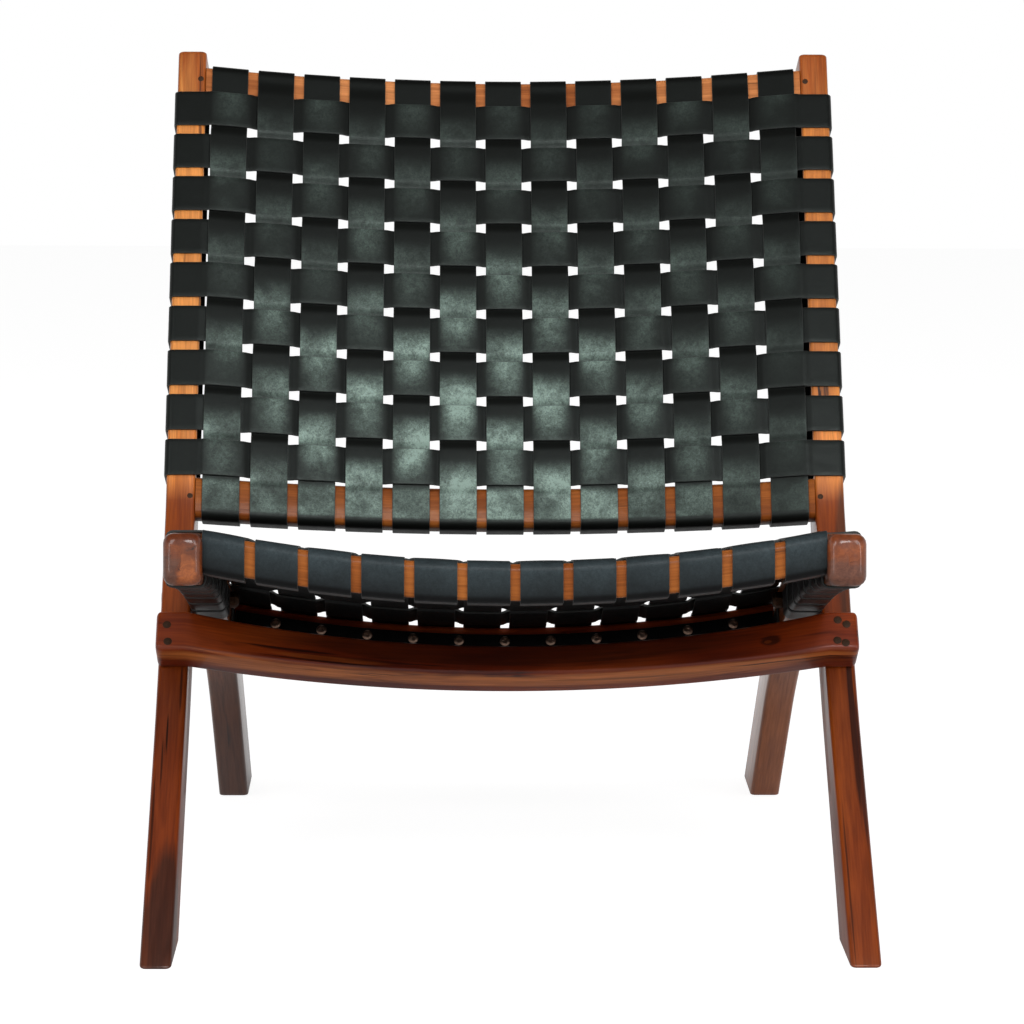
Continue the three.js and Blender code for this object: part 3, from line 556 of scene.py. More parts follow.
def side_member(
    name, x_low, thick, station, high, spans, shift,
    edge, end_depth, end_side, dome=0, knob_edge=0.0,
):
    """From the foot up to s = high. The last four values are the roundings of the upper end."""
    middle = x_low + thick / 2
    low = floor_station(station, 0.0)
    fine = max(end_depth, end_side)
    stops = [low + FOOT_ROUND * (1 - math.cos(QUARTER * i / FOOT_RINGS)) for i in range(FOOT_RINGS)]
    stops += [low + FOOT_ROUND + (high - low) * i / LOFT_STEPS for i in range(LOFT_STEPS + 1)]
    stops = [s for s in stops if s < high - fine]
    stops += [high - fine * (1 - math.sin(QUARTER * i / END_RINGS)) for i in range(END_RINGS + 1)]
    rings, grains = [], []
    for s in stops:
        left, rise = high - s, s - low
        out_low, out_high, swell = spans(s)
        foot = eased(rise, FOOT_ROUND)
        half_u = (out_high - out_low) / 2 - eased(left, end_depth) - foot
        half_v = thick / 2 + swell - eased(left, end_side) - foot
        radius = edge + (min(end_depth, end_side) - edge) * max(0.0, 1 - left / (2 * fine))
        radius = max(radius, edge, knob_edge * smooth((KNOB_LENGTH - left) / KNOB_BLEND))
        ring, grain = [], []
        for u, v in rounded_section(half_u, half_v, radius):
            out = (out_low + out_high) / 2 + u
            at = s
            if rise < FOOT_BLEND:
                ground = floor_station(station, out)
                at = ground + rise / FOOT_BLEND * (low + FOOT_BLEND - ground)
            p = beside(station(at), out)
            ring.append(Vector((middle + v, p.x, p.y)))
            grain.append((at + shift, out, v + shift * SHIFT_ASIDE))
        rings.append(ring)
        grains.append(grain)
    if dome:
        tip = rings[-1]
        centre = sum(tip, Vector()) / len(tip)
        heading = station(high)[1]
        ahead = Vector((0, math.cos(heading), math.sin(heading)))
        for share, rise in DOME_RINGS:
            rings.append([centre + (p - centre) * share + ahead * dome * rise for p in tip])
            grains.append([(high + shift, g[1] * share, g[2]) for g in grains[-1]])
    return join_rings(name, rings, grains)


# %% [markdown]
# The chair stands on two crossed pairs: each post is front leg and back upright in one bent stick,
# and each rail is seat side and rear leg. Mirroring one side would be quicker, but both would then
# have the same grain. Each is lofted with its own shift, so that it looks like another board.

# %% Posts and rails
FRONT_FOOT_DEPTH, REAR_FOOT_DEPTH = 56 * MM, 57 * MM
FLARE_START, FLARE_LENGTH = 72 * MM, 56 * MM
POST_ROUNDING = (3.5 * MM, 6 * MM, 4 * MM)
KNOB_DOME = 1.2 * MM
RAIL_ROUNDING = (4 * MM, 9 * MM, 9 * MM, KNOB_DOME, 8.5 * MM)
knee_length, hip_length = leg_path.starts[1][2], rear_path.starts[1][2]
front_floor = -floor_station(post_station, POST_DEPTH / 2 - FRONT_FOOT_DEPTH)
rear_floor = -floor_station(seat_station, REAR_LEG_DEPTH / 2 - REAR_FOOT_DEPTH)


def post_spans(s):
    """Rear and front faces, and no swell. The front leg flares backwards to its foot."""
    flare = max((-s - knee_length) / (front_floor - knee_length), 0.0)
    rear = POST_DEPTH / 2 + (FRONT_FOOT_DEPTH - POST_DEPTH) * flare
    return -rear, POST_DEPTH / 2, 0.0


def rail_spans(s):
    """Top and underside of the rail, and the swell of its bare end past the straps."""
    deeper = (REAR_LEG_DEPTH - RAIL_DEPTH) * smooth((-s - FLARE_START) / FLARE_LENGTH)
    half = (RAIL_DEPTH + deeper) / 2
    flare = max((-s - hip_length) / (rear_floor - hip_length), 0.0)
    swell = KNOB_SWELL * smooth((s - rail_path.length + KNOB_LENGTH) / KNOB_BLEND)
    return -half - (REAR_FOOT_DEPTH - REAR_LEG_DEPTH) * flare, half, swell


for word, side in SIDES:
    post = side_member(
        f"{word}_post_wood", POST_INNER if side > 0 else -CHAIR_HALF, POST_THICK,
        post_station, post_path.length, post_spans, POST_SHIFT * side, *POST_ROUNDING,
    )
    place(post, honey, BACK_BODY, "post_wood", f"{word}_post")
    rail = side_member(
        f"{word}_rail_wood", RAIL_INNER if side > 0 else -RAIL_OUTER, RAIL_THICK,
        seat_station, rail_path.length - KNOB_DOME, rail_spans, RAIL_SHIFT * side, *RAIL_ROUNDING,
    )
    place(rail, red_wood, SEAT_BODY, "rail_wood", f"{word}_seat_rail")
    print(word, "post faces", len(post.data.polygons), "rail faces", len(rail.data.polygons))

# %% [markdown]
# Slats and bars bow between the side members, so that the woven panels are hollow like a shallow
# bowl. Each is steamed or sawn to a curve and its edges are rounded where the straps turn over it.
# A bend modifier could curve a straight board; lofting it from left to right along a parabola keeps
# its ends upright, where the tenons enter the posts.

# %% A bowed cross piece
CROSS_STEPS, CROSS_END_RINGS = 96, 5
FIT = 0.3 * MM


def bow_at(x, bow, half):
    return bow * (1 - (x / half) ** 2)


def in_space(side_point, x=0.0):
    return Vector((x, side_point.x, side_point.y))


def cross_axes(face):
    """Across the chair, out of the face, and the direction at right angles to both."""
    out = in_space(face).normalized()
    return ACROSS, out, ACROSS.cross(out)


def up_from(station):
    return Vector((math.sin(station[1]), -math.cos(station[1])))


def cross_member(
    name, axes, origin, half, bow, outs, fars, edge, shift,
    end_radius=0.0, level=None, low_edge=None, narrowing=0.0,
):
    """Its section spans outs and fars of its own frame. The bow ends at level, or at half."""
    across, out, far = axes
    level = level or half
    even = [-half + 2 * half * i / CROSS_STEPS for i in range(CROSS_STEPS + 1)]
    ends = [half]
    if end_radius:
        shares = [math.sin(QUARTER * i / CROSS_END_RINGS) for i in range(CROSS_END_RINGS + 1)]
        ends = [half - end_radius * (1 - share) for share in shares]
    xs = [-x for x in reversed(ends)]
    xs += [x for x in even if abs(x) < half - end_radius - 0.001 * MM] + ends
    rings, grains = [], []
    for x in xs:
        sink = max(bow_at(x, bow, level), 0.0)
        narrow = max(bow_at(x, narrowing, level), 0.0)
        inset = eased(half - abs(x), end_radius)
        mid_u, mid_v = (outs[0] + outs[1] - narrow) / 2, (fars[0] + fars[1]) / 2
        half_u = (outs[1] - outs[0] - narrow) / 2 - inset
        half_v = (fars[1] - fars[0]) / 2 - inset
        points = rounded_section(half_u, half_v, edge, low_edge)
        at = origin + across * x
        rings.append([at + out * (mid_u + u - sink) + far * (mid_v + v) for u, v in points])
        grains.append([(x + shift, u + shift * SHIFT_OUT, v) for u, v in points])
    return join_rings(name, rings, grains)


# %% [markdown]
# Two slats hold the back straps and two bars the seat straps. The crossbar lies on the front faces
# of the legs, where the seat rails rest on it; it is narrowest and lowest in its middle, like a
# smile. All five could be boxes with a bevel, but a bevel can't make an edge that differs above and
# below, as the bars have, so the section is drawn with its own radii.

# %% Slats, bars and crossbar
SLAT_HEIGHT, SLAT_THICK, SLAT_BOW, SLAT_EDGE = 40 * MM, 22 * MM, 34 * MM, 6 * MM
TOP_SLAT_DROP, LOWER_SLAT_DROP = 18 * MM, 450 * MM
BAR_HEIGHT, BAR_THICK, BAR_BOW = 31 * MM, 24 * MM, 26 * MM
BAR_TOP_EDGE, BAR_LOW_EDGE = 6 * MM, 3 * MM
FRONT_BAR_SETBACK, REAR_BAR_SETBACK = 15 * MM, 72 * MM
CROSSBAR_WIDTH, CROSSBAR_MIDDLE_WIDTH = 40 * MM, 30 * MM
CROSSBAR_THICK, CROSSBAR_SAG, CROSSBAR_EDGE = 38 * MM, 26 * MM, 4 * MM
CROSSBAR_DOWN = 65.482 * MM
RAIL_TOP = RAIL_DEPTH / 2
post_top = post_path.at(post_path.length)
back_front = Vector((-math.sin(post_top[1]), math.cos(post_top[1])))
back_axes = cross_axes(back_front)


def back_point(drop, depth=0.0):
    return beside(post_top, POST_DEPTH / 2 - depth, -drop)


for name, drop, shift in (("top_slat", TOP_SLAT_DROP, 0.4), ("lower_slat", LOWER_SLAT_DROP, 1.3)):
    slat = cross_member(
        f"{name}_wood", back_axes, in_space(back_point(drop)), POST_INNER - FIT, SLAT_BOW,
        (-SLAT_THICK, 0), (0, SLAT_HEIGHT), SLAT_EDGE, shift,
    )
    place(slat, slat_wood, BACK_BODY, "slat_wood", name)

front_bar_rear = rail_path.length - FRONT_BAR_SETBACK - BAR_THICK
front_bar_station = seat_station(front_bar_rear)
rear_bar_station = seat_station(-REAR_BAR_SETBACK - BAR_THICK)
rear_bar_axes = cross_axes(up_from(rear_bar_station))
for name, station, wood, slot, shift in (
    ("seat_front_bar", front_bar_station, slat_wood, "slat_wood", 2.1),
    ("seat_rear_bar", rear_bar_station, bar_wood, "rail_wood", 2.9),
):
    bar = cross_member(
        f"{name}_wood", cross_axes(up_from(station)), in_space(station[0]), RAIL_INNER - FIT,
        BAR_BOW, (RAIL_TOP - BAR_HEIGHT, RAIL_TOP), (0, BAR_THICK), BAR_TOP_EDGE, shift,
        low_edge=BAR_LOW_EDGE,
    )
    place(bar, wood, SEAT_BODY, slot, name)

crossbar_station = leg_path.at(CROSSBAR_DOWN)
leg_angle = crossbar_station[1]
up_leg = -Vector((math.cos(leg_angle), math.sin(leg_angle)))
crossbar_axes = (ACROSS, in_space(up_leg), in_space(up_from(crossbar_station)))
crossbar_origin = in_space(beside(crossbar_station, -POST_DEPTH / 2 - FIT, -CROSSBAR_WIDTH / 2))
crossbar = cross_member(
    "front_crossbar_wood", crossbar_axes, crossbar_origin, CHAIR_HALF, CROSSBAR_SAG,
    (-CROSSBAR_WIDTH, 0), (0, CROSSBAR_THICK), CROSSBAR_EDGE, BAR_SHIFT,
    end_radius=CROSSBAR_EDGE, level=POST_INNER, narrowing=CROSSBAR_WIDTH - CROSSBAR_MIDDLE_WIDTH,
)
place(crossbar, bar_wood, BACK_BODY, "crossbar_wood", "front_crossbar")
print("cross members made, crossbar faces", len(crossbar.data.polygons))

# %% [markdown]
# Waxed black leather. The hide is near black. Its grey-green clouds are painted sheen: the gleam
# of the lamps on the lower middle of the back, on the upper half of the straps across, on the
# seat's straps over the front bar, and where a strap bulges before it dives under the next. A value
# kept on every strap says where, and three noises tear it up. It could be painted on a picture;
# here the pattern reads Object coordinates, so it runs on from strap to strap as on one hide. The
# "across" value (from -1 to 1) tells the shader where the cut edge is.

# %% Leather material
# Painted light on the leather: a cap on the painted sheen, and a paler cut edge that is partly the
# raw edge and partly a painted highlight.
EDGE_AND_HIGHLIGHT_COLOUR, MOST_SHEEN, CREASE_SCALE = (0.045, 0.047, 0.045, 1), 1.45, 210.0
# Each noise: its scale, detail, roughness and distortion.
CLOUDS, MOTTLE = (20, 3, 0.5, 0.4), (120, 5, 0.68, 0.6)
SCUFFS, PORES = (420, 3, 0.6, 1.2), (1300, 3, 0.6)
LEATHER_ROUGHNESS = (0.3, 0.7, 0.46, 0.34)


def leather_material(name, black, sheen, gloss, gloss_tint, blotch=1.0):
    material, tree, shader = new_material(name)
    where = object_place(tree)
    looks = (CLOUDS, MOTTLE, SCUFFS, PORES)
    clouds, mottle, scuffs, pores = (noise_at(tree, where, *look) for look in looks)
    creases = add(
        tree, "ShaderNodeTexVoronoi", feature="DISTANCE_TO_EDGE", Vector=where, Scale=CREASE_SCALE
    )["Distance"]

    # "lean" is above 0 on the straps across, whose upper half gets more painted sheen than the
    # lower.
    across = kept_value(tree, "across")
    upper = maths(tree, "ADD", maths(tree, "MULTIPLY", across, kept_value(tree, "lean")), 1.0)
    sheen_amount = maths(tree, "MULTIPLY", kept_value(tree, "glow"), upper)
    # Painted sheen: the kept share, torn up by three noises, mixes the pale sheen colour into the
    # black.
    for value, half, spread in ((clouds, 0.12, 0.55), (mottle, 0.16, 0.34), (scuffs, 0.15, 0.4)):
        most = spread * blotch
        torn = scaled(tree, value, 0.5 - half, 0.5 + half, 1 - most, 1 + most)
        sheen_amount = maths(tree, "MULTIPLY", sheen_amount, torn)
    tint = ramp(tree, mottle, [(0.35, grey(0.4)), (0.65, grey(1.3))])
    dull = mix(tree, "MULTIPLY", 0.5, (*black, 1), tint)
    base = mix(tree, "MIX", scaled(tree, sheen_amount, 0.0, MOST_SHEEN), dull, (*sheen, 1))
    # The cut edge is paler: partly the raw edge's own colour, partly a painted highlight.
    edge = maths(tree, "ABSOLUTE", across)
    edge_and_highlight = ramp(tree, edge, [(0.965, grey(0)), (0.998, grey(0.8))])
    wrinkled = bump(tree, creases, 0.1, 0.2 * MM)
    pored = bump(tree, pores, 0.14, 0.12 * MM, Normal=wrinkled)
    fill(tree, shader, {
        "Base Color": mix(tree, "MIX", edge_and_highlight, base, EDGE_AND_HIGHLIGHT_COLOUR),
        "Roughness": scaled(tree, mottle, *LEATHER_ROUGHNESS),
        "Normal": bump(tree, mottle, 0.3, 0.5 * MM, Normal=pored),
        "Specular IOR Level": gloss,
        "Specular Tint": (*gloss_tint, 1),
    })
    return material


def spotted_material(name, colour, roughness, gloss=0.15, spots=700.0, dark=0.6, metallic=0.0):
    """A plain finish for small pieces, with fine darker spots."""
    material, tree, shader = new_material(name)
    speckle = noise_at(tree, object_place(tree), spots, 3.0)
    tone = ramp(tree, speckle, [(0.3, tuple(c * dark for c in colour)), (0.7, colour)])
    fill(tree, shader, {
        "Base Color": tone, "Roughness": roughness,
        "Specular IOR Level": gloss, "Metallic": metallic,
    })
    return material


# The second colour of each leather is its painted sheen: grey-green on the back, bluish on the seat.
back_leather = leather_material(
    "back_leather", (0.0035, 0.0037, 0.0033), (0.235, 0.325, 0.28), 0.2, (0.88, 1.0, 0.96)
)
seat_leather = leather_material(
    "seat_leather", (0.003, 0.003, 0.003), (0.034, 0.047, 0.052), 0.13, (0.94, 0.97, 1.0), 0.45
)
# The strips on the inner faces of the posts are black and have no gloss.
raw_leather = spotted_material("raw_leather", (0.005, 0.0045, 0.0042), 1.0, gloss=0.0)

# %% [markdown]
# Straps. Each is a flat strip swept along a line that rises over one strap and dives under the next.
# It could be a bent plane with a wall thickness, but its cut edges would stay sharp. Here Geometry
# Nodes sweep a rounded section along a flat curve. The curve is drawn in its own plane and then
# turned into place, so the strap never twists. A little noise keeps the straps from looking ruled.

# %% The strap tree
STRAP_WIDTH, STRAP_THICK, STRAP_TAIL, WRAP_GAP = 36.2 * MM, 2.2 * MM, 24 * MM, 0.3 * MM
STRAP_LIFT = WRAP_GAP + STRAP_THICK / 2
STRAP_EDGE, SECTION_STEPS, CORNER_ANGLES = 0.6 * MM, 8, (22, 45, 68, 112, 135, 158)


def new_tree(name, *given):
    """A tree that takes geometry and the named inputs given, and hands geometry on."""
    tree = bpy.data.node_groups.new(name, "GeometryNodeTree")
    for label, kind, default in (("Geometry", "Geometry", None), *given):
        slot = tree.interface.new_socket(label, in_out="INPUT", socket_type=f"NodeSocket{kind}")
        if default is not None:
            slot.default_value = default
    tree.interface.new_socket("Geometry", in_out="OUTPUT", socket_type="NodeSocketGeometry")
    return tree, add(tree, "NodeGroupInput")


def close_tree(tree, geometry, material):
    real = add(tree, "GeometryNodeRealizeInstances", geometry)[0]
    coated = add(tree, "GeometryNodeSetMaterial", Geometry=real, Material=material)[0]
    add(tree, "NodeGroupOutput", coated)
    return tree


def strap_tree():
    tree, given = new_tree(
        "swept_strap", ("Section", "Object", None), ("Step", "Float", 2.2 * MM),
        ("Waviness", "Float", 0.3 * MM), ("Wave scale", "Float", 30.0), ("Seed", "Float", 0.0),
        ("Material", "Material", None),
    )
    line = add(tree, "GeometryNodeMeshToCurve", given["Geometry"])[0]
    even = add(tree, "GeometryNodeResampleCurve", line, mode="LENGTH", Length=given["Step"])[0]
    upright = add(tree, "GeometryNodeSetCurveNormal", even, mode="Z_UP")[0]
    model = add(tree, "GeometryNodeObjectInfo", Object=given["Section"])["Geometry"]
    profile = add(tree, "GeometryNodeMeshToCurve", model)[0]
    swept = add(tree, "GeometryNodeCurveToMesh", upright, profile, Fill_Caps=True)[0]
    wave = add(
        tree, "ShaderNodeTexNoise", noise_dimensions="4D", Detail=1.0,
        Scale=given["Wave scale"], W=given["Seed"],
    )["Color"]
    centred = vectors(tree, "SUBTRACT", wave, grey(0.5))
    offset = add(
        tree, "ShaderNodeVectorMath", centred, operation="SCALE", Scale=given["Waviness"]
    )[0]
    moved = add(tree, "GeometryNodeSetPosition", Geometry=swept, Offset=offset)[0]
    return close_tree(tree, moved, given["Material"])


def line_object(name, points, closed=False, **kept):
    """A line of joined points in its own plane, with values kept on its points by name."""
    mesh = bpy.data.meshes.new(name)
    count = len(points)
    edges = [(i, (i + 1) % count) for i in range(count if closed else count - 1)]
    mesh.from_pydata([(p[0], p[1], 0.0) for p in points], edges, [])
    for key, values in kept.items():
        mesh.attributes.new(key, "FLOAT", "POINT").data.foreach_set("value", values)
    return new_object(name, mesh)


def strap_section(width, thick, edge=STRAP_EDGE):
    """The strap's section with softly rounded cut edges; each point keeps its place across."""
    half, flat = thick / 2, width / 2 - edge
    flats = [(i / (SECTION_STEPS / 2) - 1) * flat for i in range(SECTION_STEPS + 1)]
    points = []
    for sign in (1, -1):
        points += [(sign * -half, sign * v) for v in flats]
        for degrees in CORNER_ANGLES:
            a = math.radians(degrees)
            u = -math.cos(a) * edge
            u += -(half - edge) if degrees < 90 else (half - edge)
            points.append((sign * u, sign * (flat + math.sin(a) * edge)))
    places = [p[1] / (width / 2) for p in points]
    return line_object("strap_section", points, closed=True, across=places)


sweep_tree = strap_tree()
section = strap_section(STRAP_WIDTH, STRAP_THICK)
print("strap section points", len(section.data.vertices))

# %% [markdown]
# A tree works as a modifier, which could stay on the object. The finished chair is made of plain
# meshes, so each result is copied out and the modifier goes. The name of a strap sets its seed, so
# every strap waves in its own way and the same way each run.

# %% Bake a tree into a plain mesh
STRAP_SHARP, SEEDS = 50, 97


def bake(obj, tree, **inputs):
    modifier = obj.modifiers.new("made_by_rule", "NODES")
    modifier.node_group = tree
    slots = [item for item in tree.interface.items_tree if item.in_out == "INPUT"]
    for slot in slots:
        if slot.name in inputs:
            modifier[slot.identifier] = inputs[slot.name]
    view = bpy.context.evaluated_depsgraph_get()
    mesh = bpy.data.meshes.new_from_object(obj.evaluated_get(view), depsgraph=view)
    obj.modifiers.remove(modifier)
    name = obj.name
    baked = new_object(name, mesh)
    bpy.data.objects.remove(obj)
    baked.name = name
    return baked


def swept_strap(name, points, painted_sheens, lean, matrix, leather, body, *nodes, shape=None):
    # Every point of the line keeps the painted sheen share and the lean.
    line = line_object(name, points, glow=painted_sheens, lean=[lean] * len(points))
    seed = float(sum(ord(c) * (i + 1) for i, c in enumerate(name)) % SEEDS)
    strap = bake(line, sweep_tree, Section=shape or section, Seed=seed, Material=leather)
    strap.data.transform(matrix)
    bm = bmesh.new()
    bm.from_mesh(strap.data)
    write_mesh(bm, strap.data, STRAP_SHARP)
    return place(strap, None, body, "strap_leather", *nodes)


print("inputs of a strap", [item.name for item in sweep_tree.interface.items_tree])

# %% [markdown]
# The line of a strap: level stretches, each with a height, joined by eased ramps. A sine wave would
# be shorter to write, but stiff leather stays level past the strap that it lies on and dives steeply
# beside the next one, so each crossing reads as a flat square with a thin shadow. A slight swell
# over a crossing lets it catch the light.

# %% Height of a strap in the weave
WEAVE_RISE, CAMBER = STRAP_THICK + 0.15 * MM, 0.45 * MM
OVER_EASE, EASE = 1.0 * MM, 0.5 * MM
SAMPLE_STEP, TURN_STEPS, STRAP_SPACING = 1.6 * MM, 8, 45 * MM


def weave_height(t, levels):
    """levels: (start, end, height, swell), in order. Between two of them the height is eased."""
    for i, (start, end, height, swell) in enumerate(levels):
        if t <= end or i == len(levels) - 1:
            if t >= start or i == 0:
                middle, half = (start + end) / 2, (end - start) / 2
                share = min(abs(t - middle) / half, 1.0) if half else 1.0
                return height + swell * (1 - share * share)
            last = levels[i - 1]
            return last[2] + (height - last[2]) * smooth((t - last[1]) / (start - last[1]))


def crossings(middles, overs, low=0.0):
    """Level stretches over and under the straps at some middles, in order; low lowers them all."""
    levels = []
    half = STRAP_WIDTH / 2
    for i, (middle, over) in enumerate(zip(middles, overs)):
        reach = half + (OVER_EASE if over else EASE)
        start = middle - (reach if i > 0 else half + EASE)
        end = middle + (reach if i < len(middles) - 1 else half + EASE)
        height = STRAP_LIFT + (WEAVE_RISE if over else 0.0) - low
        levels.append((start, end, height, CAMBER if over else 0.0))
    return levels


def samples(start, end):
    count = max(int(abs(end - start) / SAMPLE_STEP), 1)
    return [start + (end - start) * i / count for i in range(count + 1)]


def turn(centre_u, centre_v, radius, from_degrees, to_degrees):
    """Points of a turn round a rounded edge."""
    span = to_degrees - from_degrees
    angles = [math.radians(from_degrees + span * i / TURN_STEPS) for i in range(TURN_STEPS + 1)]
    return [(centre_u + radius * math.cos(a), centre_v + radius * math.sin(a)) for a in angles]


def spread(low, high):
    """Middles of straps that fill a width evenly, at about the same spacing everywhere."""
    first, last = low + STRAP_WIDTH / 2, high - STRAP_WIDTH / 2
    gaps = round((last - first) / STRAP_SPACING)
    return [first + (last - first) * i / gaps for i in range(gaps + 1)]


def is_over(row, column):
    """Whether a strap across lies over the lengthwise one at their crossing."""
    return (row + column) % 2 == 0


print("a strap rises", round(WEAVE_RISE / MM, 2), "mm over the next")

# %% [markdown]
# The pale clouds on the back are painted sheen, where the lamps gleam on it: they gather a little
# left of the middle, in the lower half, with a faint one at the top left. A painted mask would do;
# two soft spots in numbers are enough, because the weave itself breaks them up.

# %% Where the back gets painted sheen
# Where the painted sheen lies on the back, and how it fades and rises along each strap.
SHEEN_LEAST, SHEEN_SPOTS = 0.09, ((1.22, -0.055, 0.19, 0.44, 0.17), (0.04, -0.26, 0.06, 0.08, 0.06))
SHEEN_FADE, SHEEN_START, ACROSS_SHEEN = 13 * MM, 0.25, 0.55


def painted_sheen_at(x, drop):
    """How much painted sheen the back has: spots of strength, x, reach in x, drop, reach in drop."""
    sheen_amount = SHEEN_LEAST
    for strength, mid_x, reach_x, mid_drop, reach_drop in SHEEN_SPOTS:
        off_x, off_drop = (x - mid_x) / reach_x, (drop - mid_drop) / reach_drop
        sheen_amount += strength * math.exp(-(off_x**2) - off_drop**2)
    return sheen_amount


def weave_sheen(t, levels, downwards):
    """Painted sheen: 0 where a strap lies under. Over another it peaks midway,
    or grows downwards to its low end.
    """
    for start, end, height, swell in levels:
        if swell and start - SHEEN_FADE <= t <= end + SHEEN_FADE:
            share = min(max((t - start) / (end - start), 0.0), 1.0)
            beyond = smooth(max(start - t, t - end, 0.0) / SHEEN_FADE)
            rise = ACROSS_SHEEN * math.sin(math.pi * share)
            if downwards:
                rise = smooth((share - SHEEN_START) / (1 - SHEEN_START))
            return rise * (1 - beyond)
    return 0.0


print("rubbed at the middle", round(painted_sheen_at(0, 0.44), 2))

# %% [markdown]
# The back's lengthwise straps come over the top slat from behind, run down through the rows and turn
# round the lower slat. One strap copied 13 times would not fit the bow, so each line is drawn at its
# own depth, and its width leans with the bow.

# %% Lengthwise straps of the back
COLUMN_MARGIN, ROW_ON_SLAT, ROW_ABOVE_SLAT = 5.9 * MM, 11 * MM, 0.8 * MM
# The straps also get painted sheen on the hem below the last row.
LEVEL_AT_TOP, LEVEL_AT_HEM, HEM_SHEEN, HEM_FADE = 6 * MM, 24 * MM, 0.74, 8 * MM
back_columns = spread(COLUMN_MARGIN - POST_INNER, POST_INNER - COLUMN_MARGIN)
back_rows = spread(TOP_SLAT_DROP + SLAT_HEIGHT - ROW_ON_SLAT, LOWER_SLAT_DROP - ROW_ABOVE_SLAT)


def basis(first, second, third, origin):
    return Matrix.Translation(origin) @ Matrix((first, second, third)).transposed().to_4x4()


def lengthwise_matrix(x, slope, sideways):
    """From a flat drawing into the side plane, with the strap's width leaning with the bow."""
    lean = (in_space(sideways) * slope + ACROSS).normalized()
    return basis(Vector((0, 1, 0)), Vector((0, 0, 1)), lean, Vector((x, 0, 0)))


for column, x in enumerate(back_columns):
    depth = bow_at(x, SLAT_BOW, POST_INNER)
    r = SLAT_EDGE
    top, bottom, rear = TOP_SLAT_DROP + r, LOWER_SLAT_DROP + SLAT_HEIGHT - r, SLAT_THICK - r
    levels = [(top, top + LEVEL_AT_TOP, STRAP_LIFT, 0)]
    levels += crossings(back_rows, [not is_over(row, column) for row in range(len(back_rows))])
    levels += [(bottom - LEVEL_AT_HEM, bottom, STRAP_LIFT, 0)]
    over = [(top + STRAP_TAIL, -SLAT_THICK - STRAP_LIFT)]
    over += turn(top, -rear, r + STRAP_LIFT, -90, -180) + turn(top, -r, r + STRAP_LIFT, 180, 90)
    drops = samples(top, bottom)[1:-1]
    woven = [(t, weave_height(t, levels)) for t in drops]
    under = turn(bottom, -r, r + STRAP_LIFT, 90, 0) + turn(bottom, -rear, r + STRAP_LIFT, 0, -90)
    under += [(bottom - STRAP_TAIL, -SLAT_THICK - STRAP_LIFT)]
    hem_start = back_rows[-1] + STRAP_WIDTH / 2
    # Painted sheen along the strap: at the low ends of its lengths over the rows, and on the hem.
    painted_sheens = [
        max(weave_sheen(t, levels, True), HEM_SHEEN * smooth((t - hem_start) / HEM_FADE))
        * painted_sheen_at(x, t) for t in drops
    ]
    painted_sheens = [0.0] * len(over) + painted_sheens + [0.0] * len(under)
    points = [tuple(back_point(drop, depth - out)) for drop, out in over + woven + under]
    matrix = lengthwise_matrix(x, -2 * SLAT_BOW * x / POST_INNER**2, -back_front)
    name = f"back_strap_down_{column + 1:02d}"
    swept_strap(f"{name}_leather", points, painted_sheens, 0.0, matrix, back_leather, BACK_BODY, name)
print("lengthwise back straps", len(back_columns))

# %% [markdown]
# Straps across start behind one side member, turn round its outer side, cross the panel in the weave
# and turn round the other. Both ends are the same turn, mirrored, so only one is drawn. The back and
# the seat share this helper.

# %% Straps across the back
POST_EDGE, ROW_UPPER_SHEEN = 3 * MM, 0.7


def bowed(x, height, bow, half):
    """A point at a height over the bowed surface, square to it."""
    slope = 2 * bow * x / half**2 if abs(x) < half else 0.0
    sink = max(bow_at(x, bow, half), 0.0)
    scale = 1 / math.hypot(1, slope)
    return x - height * slope * scale, -sink + height * scale


def strap_across(
    name, row, columns, wrap, half, edge, bow, matrix, leather, body, low=0.0, lift=0.0, sheen_amount=None
):
    levels = [(-half - edge, -half, STRAP_LIFT, 0)]
    levels += crossings(columns, [is_over(row, column) for column in range(len(columns))], low)
    levels += [(half, half + edge, STRAP_LIFT, 0)]
    places = samples(-half, half)
    middle = [bowed(x, weave_height(x, levels), bow, half) for x in places]
    points = [(-u, v) for u, v in wrap] + [(u, v + lift) for u, v in middle] + wrap[::-1]
    # Painted sheen over the crossings where a spot of it is given, more on the strap's upper half.
    painted_sheens = [weave_sheen(x, levels, False) * sheen_amount(x) if sheen_amount else 0.0 for x in places]
    painted_sheens = [0.0] * len(wrap) + painted_sheens + [0.0] * len(wrap)
    lean = ROW_UPPER_SHEEN if sheen_amount else 0.0
    swept_strap(f"{name}_leather", points, painted_sheens, lean, matrix, leather, body, name)


outer = CHAIR_HALF - POST_EDGE
wrap = [(outer - STRAP_TAIL + POST_EDGE, -POST_DEPTH - STRAP_LIFT)]
wrap += turn(outer, POST_EDGE - POST_DEPTH, POST_EDGE + STRAP_LIFT, -90, 0)
wrap += turn(outer, -POST_EDGE, POST_EDGE + STRAP_LIFT, 0, 90)
for row, drop in enumerate(back_rows):
    strap_across(
        f"back_strap_across_{row + 1:02d}", row, back_columns, wrap, POST_INNER, POST_EDGE,
        SLAT_BOW, basis(*back_axes, in_space(back_point(drop))), back_leather, BACK_BODY,
        sheen_amount=lambda x: painted_sheen_at(x, drop),
    )
print("back straps across", len(back_rows))

# %% [markdown]
# A thin black strip covers the inner face of each post between the two slats; it shows as black
# squares between the straps. A box would do, but the strap tree gives it the same rounded edges.

